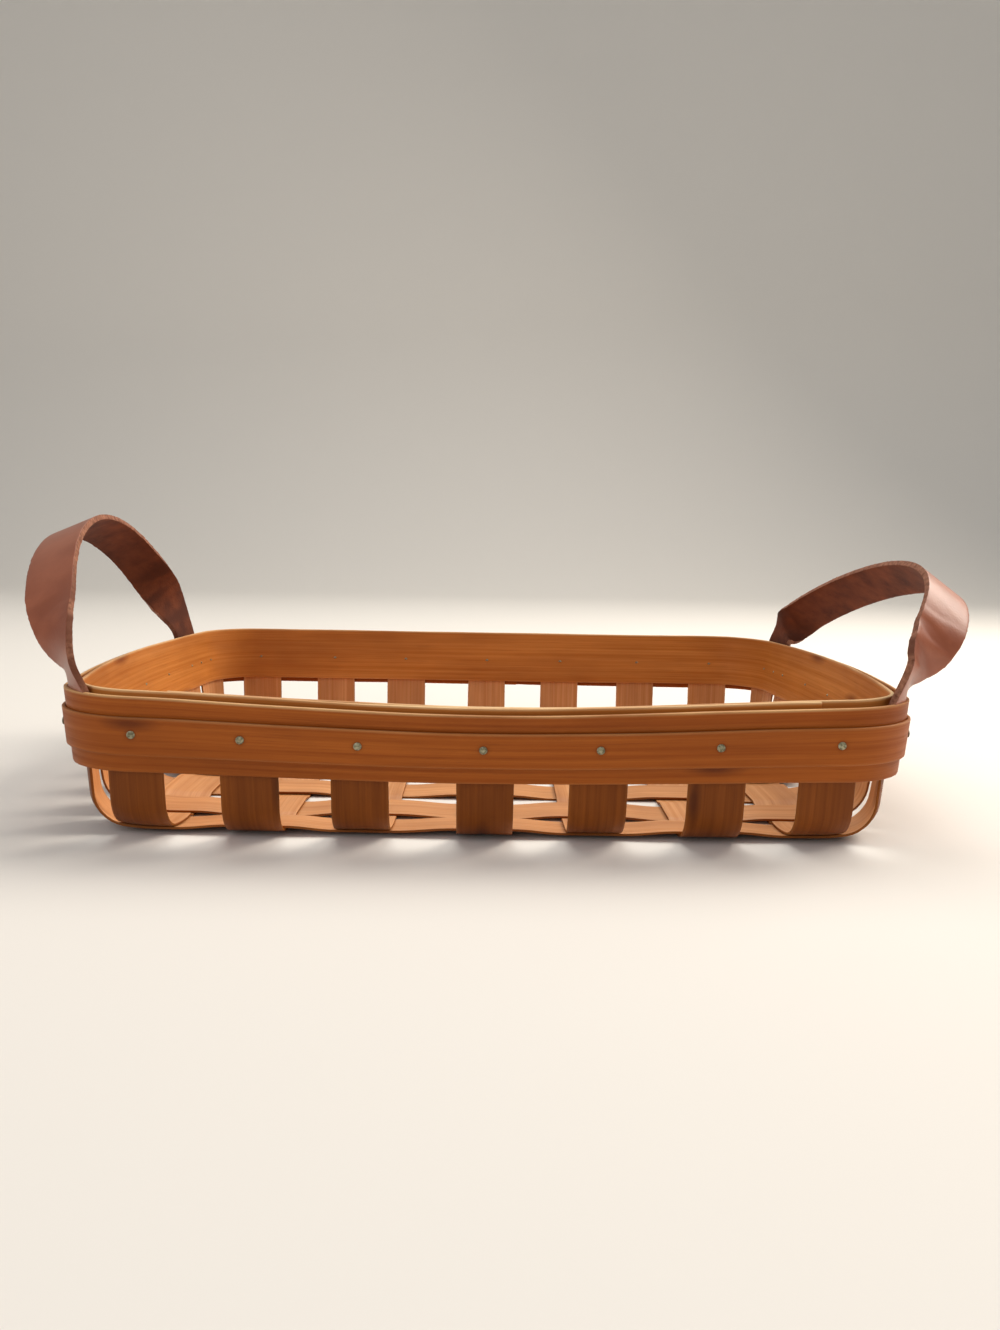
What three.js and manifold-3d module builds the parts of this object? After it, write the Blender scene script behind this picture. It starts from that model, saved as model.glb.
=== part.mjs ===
// Shallow open-weave splint basket with hoop bands tacked round its rim and two leather strap handles.
// Millimetres, +Z up, +X along the basket's length, +Y to its back, origin on the table under its centre.
import * as THREE from "three";
import { mergeVertices } from "three/addons/utils/BufferGeometryUtils.js";
import Module from "manifold-3d";

const wasm = await Module();
wasm.setup();

// Splints: the flat wooden strips that are woven into the base and turned up as the walls
const SPLINT_WIDTH = 26;
const SPLINT_THICKNESS = 1.2;
const CROSS_COUNT = 7;
const CROSS_SHIFTS = [-2, -2.8, -5.5, -1, -2, -0.5, -2];
const LONG_COUNT = 7;
const LONG_SHIFTS = [0, -5.5, -2.8, 0, 2.8, 5.5, 0];
const SIDE_MARGIN = 24;
const END_MARGIN = 30.5;
const WEAVE_SLACK = 1;

// Wall line: the middle of the uprights' thickness, at table level before the walls lean out
const WALL_LENGTH = 373;
const WALL_DEPTH = 265;
const CORNER_RADIUS = 28;
const BEND_RADIUS = 15;
const EDGE_RISE_WIDTH = 34;
const EDGE_RISE_RADIUS = 110;
const RIM_HEIGHT = 68;
const UPRIGHT_DROP = 2;

// How the finished walls lean, bow and dip
const FLARE = 2.8;
const END_FLARE = 1;
const FRONT_BOW = 6.5;
const BACK_BOW = 3;
const END_BOW = 16;
const FRONT_DIP = 5.2;
const BACK_DIP = 0.5;

// Hoop bands of the rim
const OUTER_BAND_HEIGHT = 34.5;
const OUTER_BAND_THICKNESS = 1.8;
const OUTER_BAND_LAP = 40;
const TRIM_HEIGHT = 17.6;
const TRIM_THICKNESS = 1.5;
const TRIM_DROP = 8.8;
const TRIM_LAP = 40;
const INNER_BAND_HEIGHT = 34;
const INNER_BAND_THICKNESS = 1.8;
const INNER_BAND_STAND = 2.5;
const INNER_BAND_START = -142;
const INNER_BAND_END = 148;
const LAP_RAMP = 14;

// Tacks
const TACK_DROP = 16.8;
const FRONT_TACK_SHIFTS = [0, -2.7, 0, -1, 0, 0, 4];
const TACK_HEAD_RADIUS = 1.9;
const TACK_HEAD_HEIGHT = 0.9;
const TACK_SHANK_RADIUS = 0.8;
const TACK_TIP_LENGTH = 1.2;
const TACK_SHOULDER = { radius: 0.75, height: 0.7 };
const TACK_SIDES = 6;

// Leather straps
const STRAP_WIDTH = 25;
const STRAP_THICKNESS = 3;
const STRAP_TAB_DEPTH = 27;
const STRAP_TAB_RISE = 4.5;
const STRAP_SIDE_ROOM = 5;
const STRAP_TWIST_HEIGHT = 21;
const LEFT_LOOP = { side: -1, height: 80, lean: 32, crestShift: -45 };
const RIGHT_LOOP = { side: 1, height: 63, lean: 43, crestShift: 10 };

// Clearances and mesh steps
const FIT_GAP = 0.4;
const WEAVE_GAP = 0.5;
const SWING_GAP = 0.8;
const SIDE_STEP = 20;
const END_STEP = 10;
const CORNER_STEPS = 8;
const BEND_STEPS = 3;
const LOOP_STEPS = 26;
const LOOP_COLUMNS = 2;
const LOOP_END_ANGLES = [75, 45];
const TAB_COLUMNS = 3;
const SPLINT_COLUMNS = 4;
const BEND_PASSES = 8;
const SMALLEST_STATION_STEP = 1;
const MERGE_DISTANCE = 1e-4;
const TANGENT_STEP = 1e-3;

// Values that follow from the sizes above
const halfLength = WALL_LENGTH / 2;
const halfDepth = WALL_DEPTH / 2;
const straightLength = halfLength - CORNER_RADIUS;
const straightDepth = halfDepth - CORNER_RADIUS;
const cornerArc = CORNER_RADIUS * Math.PI / 2;
const perimeter = 4 * (straightLength + straightDepth + cornerArc);
const crossPitch = (halfLength - END_MARGIN) / ((CROSS_COUNT - 1) / 2);
const longPitch = (halfDepth - SIDE_MARGIN) / ((LONG_COUNT - 1) / 2);
const crossPlaces = CROSS_SHIFTS.map((shift, i) => (i - (CROSS_COUNT - 1) / 2) * crossPitch + shift);
const longPlaces = LONG_SHIFTS.map((shift, j) => (j - (LONG_COUNT - 1) / 2) * longPitch + shift);
const weaveLift = (SPLINT_THICKNESS + WEAVE_GAP) / 2;
const baseLevel = SPLINT_THICKNESS / 2 + weaveLift;
const strapPlace = (longPlaces[LONG_COUNT - 1] + longPlaces[LONG_COUNT - 2]) / 2;
const strapReach = strapPlace + STRAP_WIDTH / 2 + STRAP_SIDE_ROOM;

// Layer offsets from the wall line, outwards positive, to the middle of each layer
const outerBandOffset = SPLINT_THICKNESS / 2 + FIT_GAP + OUTER_BAND_THICKNESS / 2;
const outerLapStep = OUTER_BAND_THICKNESS + FIT_GAP;
const outerStrapStep = STRAP_THICKNESS + FIT_GAP;
const trimOffset = outerBandOffset + OUTER_BAND_THICKNESS / 2 + FIT_GAP + TRIM_THICKNESS / 2;
const trimLapStep = TRIM_THICKNESS + FIT_GAP;
const tabOffset = SPLINT_THICKNESS / 2 + FIT_GAP + STRAP_THICKNESS / 2;
const innerBackOffset = -(SPLINT_THICKNESS / 2 + FIT_GAP + INNER_BAND_THICKNESS / 2);
const innerLapOffset = innerBackOffset - INNER_BAND_THICKNESS - FIT_GAP;

// Places round the rim, as arc length from the middle of the front, going to the right
const rightCornerStart = straightLength;
const rightEndStart = rightCornerStart + cornerArc;
const rightEndStop = rightEndStart + 2 * straightDepth;
const backStart = rightEndStop + cornerArc;
const backStop = backStart + 2 * straightLength;
const leftEndStart = backStop + cornerArc;
const leftEndStop = leftEndStart + 2 * straightDepth;
const frontStart = leftEndStop + cornerArc;
const backMiddle = perimeter / 2;
const outerLapStart = backMiddle - OUTER_BAND_LAP / 2;
const trimLapStart = backMiddle - crossPlaces[2] - TRIM_LAP / 2;
const rightEndMiddle = rightEndStart + straightDepth;
const leftEndMiddle = leftEndStart + straightDepth;

const wood = { color: 0xb5692f, roughness: 0.5, metalness: 0 };
const paleWood = { color: 0xcf9058, roughness: 0.5, metalness: 0 };
const leather = { color: 0x8f5a42, roughness: 0.55, metalness: 0 };
const brass = { color: 0x9c9478, roughness: 0.4, metalness: 1 };

const group = new THREE.Group();

// Adds one named piece with a material of its own
function addPiece(name, geometry, finish) {
  geometry.computeVertexNormals();
  const mesh = new THREE.Mesh(geometry, new THREE.MeshStandardMaterial(finish));
  mesh.name = name;
  group.add(mesh);
}

// Leans the walls out with height, bows all four sides of the rim and dips the long ones
function warp(point) {
  const rise = point.z / RIM_HEIGHT;
  const bowAlong = 1 - (point.x / halfLength) ** 2;
  const dipAlong = Math.cos(Math.PI / 2 * point.x / halfLength) ** 2;
  const front = Math.max(0, -point.y / halfDepth);
  const back = Math.max(0, point.y / halfDepth);
  const bow = bowAlong * (BACK_BOW * back - FRONT_BOW * front);
  const endBow = END_BOW * (1 - (point.y / halfDepth) ** 2);
  const dip = dipAlong * (FRONT_DIP * front + BACK_DIP * back);
  return new THREE.Vector3(
    point.x * (1 + rise * (END_FLARE + endBow) / halfLength),
    point.y * (1 + rise * FLARE / halfDepth) + rise * bow,
    point.z * (1 - dip / RIM_HEIGHT),
  );
}

// Point and outward normal of the wall line at an arc length from the middle of the front
function wallAt(place) {
  const sides = [
    [straightLength, 0, -1, 0],
    [2 * straightDepth, 1, 0, 90],
    [2 * straightLength, 0, 1, 180],
    [2 * straightDepth, -1, 0, 270],
    [straightLength, 0, -1, 360],
  ];
  let left = ((place % perimeter) + perimeter) % perimeter;
  let corner = new THREE.Vector2(0, -halfDepth);
  for (const [length, normalX, normalY, turn] of sides) {
    const normal = new THREE.Vector2(normalX, normalY);
    const forward = new THREE.Vector2(-normalY, normalX);
    if (left <= length) {
      return { point: corner.clone().addScaledVector(forward, left), normal };
    }
    corner = corner.clone().addScaledVector(forward, length);
    left -= length;
    const centre = corner.clone().addScaledVector(normal, -CORNER_RADIUS);
    const start = THREE.MathUtils.degToRad(turn - 90);
    const angle = start + Math.min(left, cornerArc) / CORNER_RADIUS;
    const out = new THREE.Vector2(Math.cos(angle), Math.sin(angle));
    if (left <= cornerArc) {
      return { point: centre.clone().addScaledVector(out, CORNER_RADIUS), normal: out };
    }
    corner = centre.clone().addScaledVector(out, CORNER_RADIUS);
    left -= cornerArc;
  }
  return { point: new THREE.Vector2(0, -halfDepth), normal: new THREE.Vector2(0, -1) };
}

// Keeps only positions, joins shared vertices and drops triangles that have closed up
function clean(geometry) {
  geometry.deleteAttribute("normal");
  geometry.deleteAttribute("uv");
  const merged = mergeVertices(geometry, MERGE_DISTANCE);
  const index = merged.getIndex().array;
  const kept = [];
  for (let i = 0; i < index.length; i += 3) {
    const [a, b, c] = [index[i], index[i + 1], index[i + 2]];
    if (a !== b && b !== c && c !== a) {
      kept.push(a, b, c);
    }
  }
  merged.setIndex(kept);
  return merged;
}

// Closed strip: place(station, column, face) gives each corner, with face -1 inside and 1 outside
function strip(stations, columns, place) {
  const geometry = new THREE.BoxGeometry(1, 1, 1, stations.length - 1, columns.length - 1, 1);
  const position = geometry.getAttribute("position");
  for (let i = 0; i < position.count; i += 1) {
    const station = stations[Math.round((position.getX(i) + 0.5) * (stations.length - 1))];
    const column = columns[Math.round((position.getY(i) + 0.5) * (columns.length - 1))];
    const point = place(station, column, Math.sign(position.getZ(i)));
    position.setXYZ(i, point.x, point.y, point.z);
  }
  return clean(geometry);
}

function toSolid(geometry) {
  const vertProperties = new Float32Array(geometry.getAttribute("position").array);
  const triVerts = new Uint32Array(geometry.getIndex().array);
  return new wasm.Manifold(new wasm.Mesh({ numProp: 3, vertProperties, triVerts }));
}

function toGeometry(solid) {
  const mesh = solid.getMesh();
  const geometry = new THREE.BufferGeometry();
  geometry.setAttribute("position", new THREE.BufferAttribute(new Float32Array(mesh.vertProperties), 3));
  geometry.setIndex(new THREE.BufferAttribute(new Uint32Array(mesh.triVerts), 1));
  return geometry;
}

// Cuts the given tack holes out of a piece
function drilled(geometry, holes) {
  const cut = holes.reduce((solid, hole) => solid.subtract(toSolid(hole)), toSolid(geometry));
  return toGeometry(cut);
}

// Even steps from one value to another, both ends included
function spread(from, to, steps) {
  return Array.from({ length: steps + 1 }, (_, i) => from + (to - from) * i / steps);
}

function smooth(value) {
  const t = THREE.MathUtils.clamp(value, 0, 1);
  return t * t * (3 - 2 * t);
}

// Height of the base's gently rising border at a distance from the middle
function edgeRise(distance, half) {
  const past = Math.max(0, Math.abs(distance) - (half - EDGE_RISE_WIDTH));
  return { height: past ** 2 / (2 * EDGE_RISE_RADIUS), slope: past / EDGE_RISE_RADIUS };
}

// Where a splint that reaches the wall at the given distance leaves the base and starts its bend
function bendStart(wall, half) {
  let start = wall - BEND_RADIUS;
  for (let i = 0; i < BEND_PASSES; i += 1) {
    const angle = Math.atan(edgeRise(start, half).slope);
    start = wall - BEND_RADIUS * (1 - Math.sin(angle));
  }
  return { start, angle: Math.atan(edgeRise(start, half).slope) };
}

const splintColumns = spread(-SPLINT_WIDTH / 2, SPLINT_WIDTH / 2, SPLINT_COLUMNS);

// Stations across the base: the edges of each crossed splint, with the weave's side at each
function crossingStations(places, isOver) {
  const reach = SPLINT_WIDTH / 2 + WEAVE_SLACK;
  const inner = splintColumns.slice(1, -1);
  const stations = [];
  places.forEach((centre, i) => {
    const isOuter = i === 0 || i === places.length - 1;
    const marks = isOuter ? [-reach, ...inner, reach] : [-reach, reach];
    marks.forEach((mark) => stations.push({ zone: "base", at: centre + mark, lift: isOver(i) ? 1 : -1 }));
  });
  return stations;
}

// One splint: up one wall, across the base and up the wall opposite
function splint({ alongX, centre, places, isOver }) {
  const half = alongX ? halfLength : halfDepth;
  const halfAcross = alongX ? halfDepth : halfLength;
  const middleOfSide = alongX ? rightEndMiddle : 0;
  const base = crossingStations(places, isOver);
  const outermost = half - EDGE_RISE_WIDTH;
  const plain = bendStart(half, half).start;

  // Profile of one column: its wall place, and where its bend starts
  const profile = (column) => {
    const wall = wallAt(middleOfSide + centre + column);
    const reach = alongX ? wall.point.x : -wall.point.y;
    const sideways = alongX ? wall.point.y : wall.point.x;
    const normal = alongX ? wall.normal : new THREE.Vector2(-wall.normal.y, wall.normal.x);
    return { reach, sideways, normal, ...bendStart(reach, half) };
  };

  const place = (station, across, face) => {
    const column = alongX ? -across : across;
    const { reach, sideways, normal, start, angle } = profile(column);
    const crossRise = edgeRise(centre + column, halfAcross).height;
    const thickness = face * SPLINT_THICKNESS / 2;
    let distance;
    let height;
    let turn = 1;
    let lean = Math.PI / 2;
    let lift = 0;
    let sign = Math.sign(station.at);
    if (station.zone === "base") {
      const far = Math.abs(station.at);
      const squeeze = (start - outermost) / (plain - outermost);
      distance = far > outermost ? outermost + (far - outermost) * squeeze : far;
      const rise = edgeRise(distance, half);
      height = baseLevel + rise.height + crossRise;
      turn = 0;
      lean = Math.atan(rise.slope);
      lift = station.lift * weaveLift;
    } else {
      const foot = baseLevel + edgeRise(start, half).height + crossRise + BEND_RADIUS * Math.cos(angle);
      sign = station.sign;
      distance = reach;
      height = RIM_HEIGHT - UPRIGHT_DROP;
      if (station.zone === "bend") {
        turn = station.at;
        lean = angle + (Math.PI / 2 - angle) * turn;
        distance = start + BEND_RADIUS * (Math.sin(lean) - Math.sin(angle));
        height = foot - BEND_RADIUS * Math.cos(lean);
        lift = station.lift * weaveLift * (1 - turn);
      }
    }
    // Outward direction on plan: square to the wall line once the splint stands upright
    const outward = THREE.MathUtils.lerp(1, normal.x, turn);
    const side = THREE.MathUtils.lerp(0, normal.y, turn);
    const offset = thickness - lift;
    const along = sign * (distance + offset * Math.sin(lean) * outward);
    const over = THREE.MathUtils.lerp(centre + column, sideways, turn) + offset * Math.sin(lean) * side;
    const z = height - offset * Math.cos(lean);
    return warp(alongX ? new THREE.Vector3(along, over, z) : new THREE.Vector3(over, along, z));
  };

  const bend = (sign, lift) => spread(0, 1, BEND_STEPS).map((at) => ({ zone: "bend", at, sign, lift }));
  const first = base[0].lift;
  const last = base[base.length - 1].lift;
  const stations = [
    { zone: "top", sign: -1 },
    ...bend(-1, first).reverse(),
    ...base,
    ...bend(1, last),
    { zone: "top", sign: 1 },
  ];
  return strip(stations, splintColumns, place);
}

// Breakpoints of the rim outline between two arc lengths, with extra ones where a lap needs them
function rimStations(from, to, extra) {
  const sideSteps = (start, stop, step) => spread(start, stop, Math.ceil((stop - start) / step));
  const corner = (start) => spread(start, start + cornerArc, CORNER_STEPS);
  const once = [
    ...sideSteps(frontStart - perimeter, rightCornerStart, SIDE_STEP),
    ...corner(rightCornerStart),
    ...sideSteps(rightEndStart, rightEndStop, END_STEP),
    ...corner(rightEndStop),
    ...sideSteps(backStart, backStop, SIDE_STEP),
    ...corner(backStop),
    ...sideSteps(leftEndStart, leftEndStop, END_STEP),
    ...corner(leftEndStop),
  ];
  const turns = [-perimeter, 0, perimeter, 2 * perimeter];
  const all = turns.flatMap((turn) => once.map((at) => at + turn));
  const inside = all.filter((at) => at > from && at < to);
  const sorted = [from, ...inside, ...extra, to].sort((a, b) => a - b);
  return sorted.filter((at, i) => i === 0 || at - sorted[i - 1] > SMALLEST_STATION_STEP);
}

// A hoop band: offset(place) is the middle of its thickness from the wall line
function hoop(from, to, extra, bottom, top, thickness, offset) {
  const place = (at, height, face) => {
    const wall = wallAt(at);
    const out = offset(at) + face * thickness / 2;
    const x = wall.point.x + wall.normal.x * out;
    const y = wall.point.y + wall.normal.y * out;
    return warp(new THREE.Vector3(x, y, height));
  };
  return strip(rimStations(from, to, extra), [bottom, top], place);
}

// Rises by one step over a stretch of the rim, with a ramp at each end
function bump(at, from, to) {
  const up = smooth((at - from + LAP_RAMP) / LAP_RAMP);
  const down = smooth((to + LAP_RAMP - at) / LAP_RAMP);
  return Math.min(up, down);
}

// Moves a hoop out by one step where it comes round to its own start
function lapped(at, lapStart) {
  return smooth((at - lapStart - perimeter + LAP_RAMP) / LAP_RAMP);
}

// Moves the outer hoops out by a strap's thickness round the ends, where they run over the straps
function strapPush(at) {
  const turn = ((at % perimeter) + perimeter) % perimeter;
  const away = Math.min(Math.abs(turn - rightEndMiddle), Math.abs(turn - leftEndMiddle));
  return outerStrapStep * (1 - smooth((away - strapReach) / (straightDepth + cornerArc - strapReach)));
}

function outerOffset(at) {
  return outerBandOffset + strapPush(at) + outerLapStep * lapped(at, outerLapStart);
}

function trimOffsetAt(at) {
  const lapStop = outerLapStart + OUTER_BAND_LAP;
  const overOuterLap = bump(at, outerLapStart, lapStop) + bump(at - perimeter, outerLapStart, lapStop);
  return trimOffset + strapPush(at) + outerLapStep * overOuterLap + trimLapStep * lapped(at, trimLapStart);
}

// The inner hoop starts inside its own lap on the front and moves out round the first corner
function innerOffset(at) {
  return THREE.MathUtils.lerp(innerLapOffset, innerBackOffset, smooth((at - rightCornerStart) / cornerArc));
}

// Outermost and innermost faces of the rim at a place, where a tack's head sits and its point comes out
function rimFaces(at) {
  const turn = ((at % perimeter) + perimeter) % perimeter;
  const inTrimLap = turn > trimLapStart && turn < trimLapStart + TRIM_LAP;
  const outside = trimOffsetAt(turn) + TRIM_THICKNESS / 2 + (inTrimLap ? trimLapStep : 0);
  const front = turn > perimeter / 2 ? turn - perimeter : turn;
  const inFrontLap = front > INNER_BAND_START && front < INNER_BAND_END;
  const inside = (inFrontLap ? innerLapOffset : innerOffset(turn)) - INNER_BAND_THICKNESS / 2;
  return { outside, inside };
}

// Turns a lathe profile about the wall's normal at a rim place, with radii and distances from the wall line
function turned(at, height, profile) {
  const points = profile.map(([radius, out]) => new THREE.Vector2(radius, out));
  const geometry = new THREE.LatheGeometry(points, TACK_SIDES);
  const wall = wallAt(at);
  const position = geometry.getAttribute("position");
  for (let i = 0; i < position.count; i += 1) {
    const out = position.getY(i);
    const side = position.getX(i);
    const point = warp(new THREE.Vector3(
      wall.point.x + wall.normal.x * out - wall.normal.y * side,
      wall.point.y + wall.normal.y * out + wall.normal.x * side,
      height - position.getZ(i),
    ));
    position.setXYZ(i, point.x, point.y, point.z);
  }
  return clean(geometry);
}

function tackShape(at) {
  const { outside, inside } = rimFaces(at);
  const seat = outside + FIT_GAP;
  return turned(at, RIM_HEIGHT - TACK_DROP, [
    [0, inside - TACK_TIP_LENGTH],
    [TACK_SHANK_RADIUS, inside],
    [TACK_SHANK_RADIUS, seat],
    [TACK_HEAD_RADIUS, seat],
    [TACK_HEAD_RADIUS * TACK_SHOULDER.radius, seat + TACK_HEAD_HEIGHT * TACK_SHOULDER.height],
    [0, seat + TACK_HEAD_HEIGHT],
  ]);
}

function tackHole(at) {
  const { outside, inside } = rimFaces(at);
  const radius = TACK_SHANK_RADIUS + FIT_GAP;
  const low = inside - SPLINT_THICKNESS;
  const high = outside + SPLINT_THICKNESS;
  return turned(at, RIM_HEIGHT - TACK_DROP, [[0, low], [radius, low], [radius, high], [0, high]]);
}

// Every tack: one through each upright, and one through each strap end
const tacks = [
  ...crossPlaces.map((x, i) => ({ name: `front_tack_${i + 1}`, at: x + FRONT_TACK_SHIFTS[i] })),
  ...crossPlaces.map((x, i) => ({ name: `back_tack_${i + 1}`, at: backMiddle - x })),
  ...longPlaces.map((y, j) => ({ name: `left_tack_${j + 1}`, at: leftEndMiddle - y })),
  ...longPlaces.map((y, j) => ({ name: `right_tack_${j + 1}`, at: rightEndMiddle + y })),
  { name: "left_front_strap_tack", at: leftEndMiddle + strapPlace },
  { name: "left_rear_strap_tack", at: leftEndMiddle - strapPlace },
  { name: "right_front_strap_tack", at: rightEndMiddle - strapPlace },
  { name: "right_rear_strap_tack", at: rightEndMiddle + strapPlace },
];
const holes = new Map(tacks.map(({ name, at }) => [name, tackHole(at)]));
const allHoles = [...holes.values()];
const strapTacks = tacks.filter(({ name }) => name.includes("strap"));
const strapHoles = strapTacks.map(({ name }) => holes.get(name));

crossPlaces.forEach((centre, i) => {
  const shape = splint({ alongX: false, centre, places: longPlaces, isOver: (j) => (i + j) % 2 === 0 });
  const own = [holes.get(`front_tack_${i + 1}`), holes.get(`back_tack_${i + 1}`)];
  addPiece(`cross_splint_${i + 1}`, drilled(shape, own), wood);
});

longPlaces.forEach((centre, j) => {
  const shape = splint({ alongX: true, centre, places: crossPlaces, isOver: (i) => (i + j) % 2 === 1 });
  const own = [holes.get(`left_tack_${j + 1}`), holes.get(`right_tack_${j + 1}`)];
  addPiece(`long_splint_${j + 1}`, drilled(shape, [...own, ...strapHoles]), paleWood);
});

const outerBand = hoop(
  outerLapStart, outerLapStart + perimeter + OUTER_BAND_LAP,
  [outerLapStart + perimeter - LAP_RAMP, outerLapStart + perimeter],
  RIM_HEIGHT - OUTER_BAND_HEIGHT, RIM_HEIGHT, OUTER_BAND_THICKNESS, outerOffset,
);
addPiece("outer_band", drilled(outerBand, allHoles), wood);

const lapMarks = [
  outerLapStart - LAP_RAMP, outerLapStart,
  outerLapStart + OUTER_BAND_LAP, outerLapStart + OUTER_BAND_LAP + LAP_RAMP,
].map((at) => at + perimeter);
const trimBand = hoop(
  trimLapStart, trimLapStart + perimeter + TRIM_LAP,
  [...lapMarks, trimLapStart + perimeter - LAP_RAMP, trimLapStart + perimeter],
  RIM_HEIGHT - TRIM_DROP - TRIM_HEIGHT, RIM_HEIGHT - TRIM_DROP, TRIM_THICKNESS, trimOffsetAt,
);
addPiece("trim_band", drilled(trimBand, allHoles), wood);

const innerTop = RIM_HEIGHT + INNER_BAND_STAND;
const innerBand = hoop(
  INNER_BAND_START, perimeter + INNER_BAND_END, [],
  innerTop - INNER_BAND_HEIGHT, innerTop, INNER_BAND_THICKNESS, innerOffset,
);
addPiece("inner_band", drilled(innerBand, allHoles), paleWood);

tacks.forEach(({ name, at }) => addPiece(name, tackShape(at), brass));

// Middle of a strap where its rear end comes out of the rim
function strapAnchor(side) {
  return warp(new THREE.Vector3(side * (halfLength + tabOffset), strapPlace, RIM_HEIGHT + STRAP_TAB_RISE));
}

// End of a strap that is clamped in the rim and follows it
function strapTab(middle, along) {
  const place = (across, height, face) => {
    const wall = wallAt(middle + along + across);
    const out = tabOffset + face * STRAP_THICKNESS / 2;
    const x = wall.point.x + wall.normal.x * out;
    const y = wall.point.y + wall.normal.y * out;
    return warp(new THREE.Vector3(x, y, height));
  };
  const columns = spread(-STRAP_WIDTH / 2, STRAP_WIDTH / 2, TAB_COLUMNS);
  const heights = [RIM_HEIGHT - STRAP_TAB_DEPTH, RIM_HEIGHT, RIM_HEIGHT + STRAP_TAB_RISE];
  return strip(columns, heights, place);
}

// The free loop of a strap: it stands on the two tabs, twists edge-on to the rim, and leans out from it
function strapLoop({ side, height, lean, crestShift }) {
  const anchor = strapAnchor(side);
  const axisHeight = RIM_HEIGHT + STRAP_TAB_RISE + SWING_GAP + STRAP_THICKNESS / 2;
  const angle = THREE.MathUtils.degToRad(lean);
  const up = new THREE.Vector3(side * Math.sin(angle), 0, Math.cos(angle));
  const away = new THREE.Vector3(side * Math.cos(angle), 0, -Math.sin(angle));
  const pathAt = (turn) => {
    const y = -anchor.y * Math.cos(turn) - crestShift * Math.sin(turn) ** 2;
    return new THREE.Vector3(anchor.x, y, axisHeight).addScaledVector(up, height * Math.sin(turn));
  };
  const place = ({ turn, drop, thin }, across, face) => {
    const tangent = pathAt(turn + TANGENT_STEP).sub(pathAt(turn - TANGENT_STEP)).normalize();
    const over = new THREE.Vector3().crossVectors(away, tangent).multiplyScalar(side);
    const twist = smooth(height * Math.sin(turn) / STRAP_TWIST_HEIGHT) * Math.PI / 2;
    const outer = away.clone().multiplyScalar(Math.cos(twist)).addScaledVector(over, Math.sin(twist));
    const wide = new THREE.Vector3().crossVectors(outer, tangent);
    return pathAt(turn)
      .addScaledVector(up, -drop)
      .addScaledVector(wide, across)
      .addScaledVector(outer, face * thin * STRAP_THICKNESS / 2);
  };
  // The ends are rounded about the line that the loop swings on
  const roundEnd = LOOP_END_ANGLES.map((degrees) => {
    const around = THREE.MathUtils.degToRad(degrees);
    return { drop: Math.sin(around) * STRAP_THICKNESS / 2, thin: Math.cos(around) };
  });
  // Steps are closer together near the ends, where the strap twists
  const steps = spread(0, Math.PI, LOOP_STEPS).map((turn) => turn - Math.sin(2 * turn) / 4);
  const stations = [
    ...roundEnd.map((end) => ({ turn: 0, ...end })),
    ...steps.map((turn) => ({ turn, drop: 0, thin: 1 })),
    ...roundEnd.toReversed().map((end) => ({ turn: Math.PI, ...end })),
  ];
  return strip(stations, spread(-STRAP_WIDTH / 2, STRAP_WIDTH / 2, LOOP_COLUMNS), place);
}

const straps = [
  { name: "left", loop: LEFT_LOOP, middle: leftEndMiddle, frontward: strapPlace },
  { name: "right", loop: RIGHT_LOOP, middle: rightEndMiddle, frontward: -strapPlace },
];
straps.forEach(({ name, loop, middle, frontward }) => {
  const frontTab = strapTab(middle, frontward);
  const rearTab = strapTab(middle, -frontward);
  addPiece(`${name}_strap_front_end`, drilled(frontTab, strapHoles), leather);
  addPiece(`${name}_strap_rear_end`, drilled(rearTab, strapHoles), leather);
  addPiece(`${name}_strap_loop`, strapLoop(loop), leather);
});

export default group;
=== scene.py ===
"""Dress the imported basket: woven wooden splints, tacked hoop bands and two leather strap handles.

Shapes are worked out in millimetres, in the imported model's own frame, and stored in metres.
"""

import logging
import math
from collections.abc import Callable, Sequence
from dataclasses import dataclass
from enum import Enum
from typing import Any

import bmesh
import bpy
from bmesh.types import BMEdge, BMesh, BMVert
from bpy.types import Material, Node, NodeSocket, NodeTree, Object
from mathutils import Matrix, Vector, noise


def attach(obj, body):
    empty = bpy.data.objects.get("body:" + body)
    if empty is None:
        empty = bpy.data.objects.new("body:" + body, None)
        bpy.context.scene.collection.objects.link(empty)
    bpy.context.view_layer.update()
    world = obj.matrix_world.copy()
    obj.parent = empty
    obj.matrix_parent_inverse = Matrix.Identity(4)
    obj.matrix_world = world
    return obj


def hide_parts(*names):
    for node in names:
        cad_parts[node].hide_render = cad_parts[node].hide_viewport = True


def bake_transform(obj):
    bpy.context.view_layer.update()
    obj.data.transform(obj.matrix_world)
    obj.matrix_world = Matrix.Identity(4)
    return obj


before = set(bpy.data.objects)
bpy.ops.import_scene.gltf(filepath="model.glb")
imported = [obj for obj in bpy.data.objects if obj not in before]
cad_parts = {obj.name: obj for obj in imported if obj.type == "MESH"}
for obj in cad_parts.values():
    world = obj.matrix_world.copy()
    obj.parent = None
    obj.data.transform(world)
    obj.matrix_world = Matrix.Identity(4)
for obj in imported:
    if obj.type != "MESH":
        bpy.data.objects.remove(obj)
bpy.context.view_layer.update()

LOG = logging.getLogger("basket")
MM = 0.001
GRAIN_MAP = "grain"

# Rows of the noise that are far apart, so that no two edges drift alike
DRIFT_ROWS = (7.31, 1.7)

# Sockets of the Mix node when it mixes colours
MIX_FACTOR = 0
MIX_A = 6
MIX_B = 7
MIX_RESULT = 2
COLOUR_MIX = {"data_type": "RGBA"}


def smooth(value: float) -> float:
    """Ease a value from 0 to 1, flat at both ends."""
    t = min(1.0, max(0.0, value))
    return t * t * (3 - 2 * t)


def mix(low: float, high: float, share: float) -> float:
    """Go from one number to another by a share from 0 to 1."""
    return low + (high - low) * share


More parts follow.
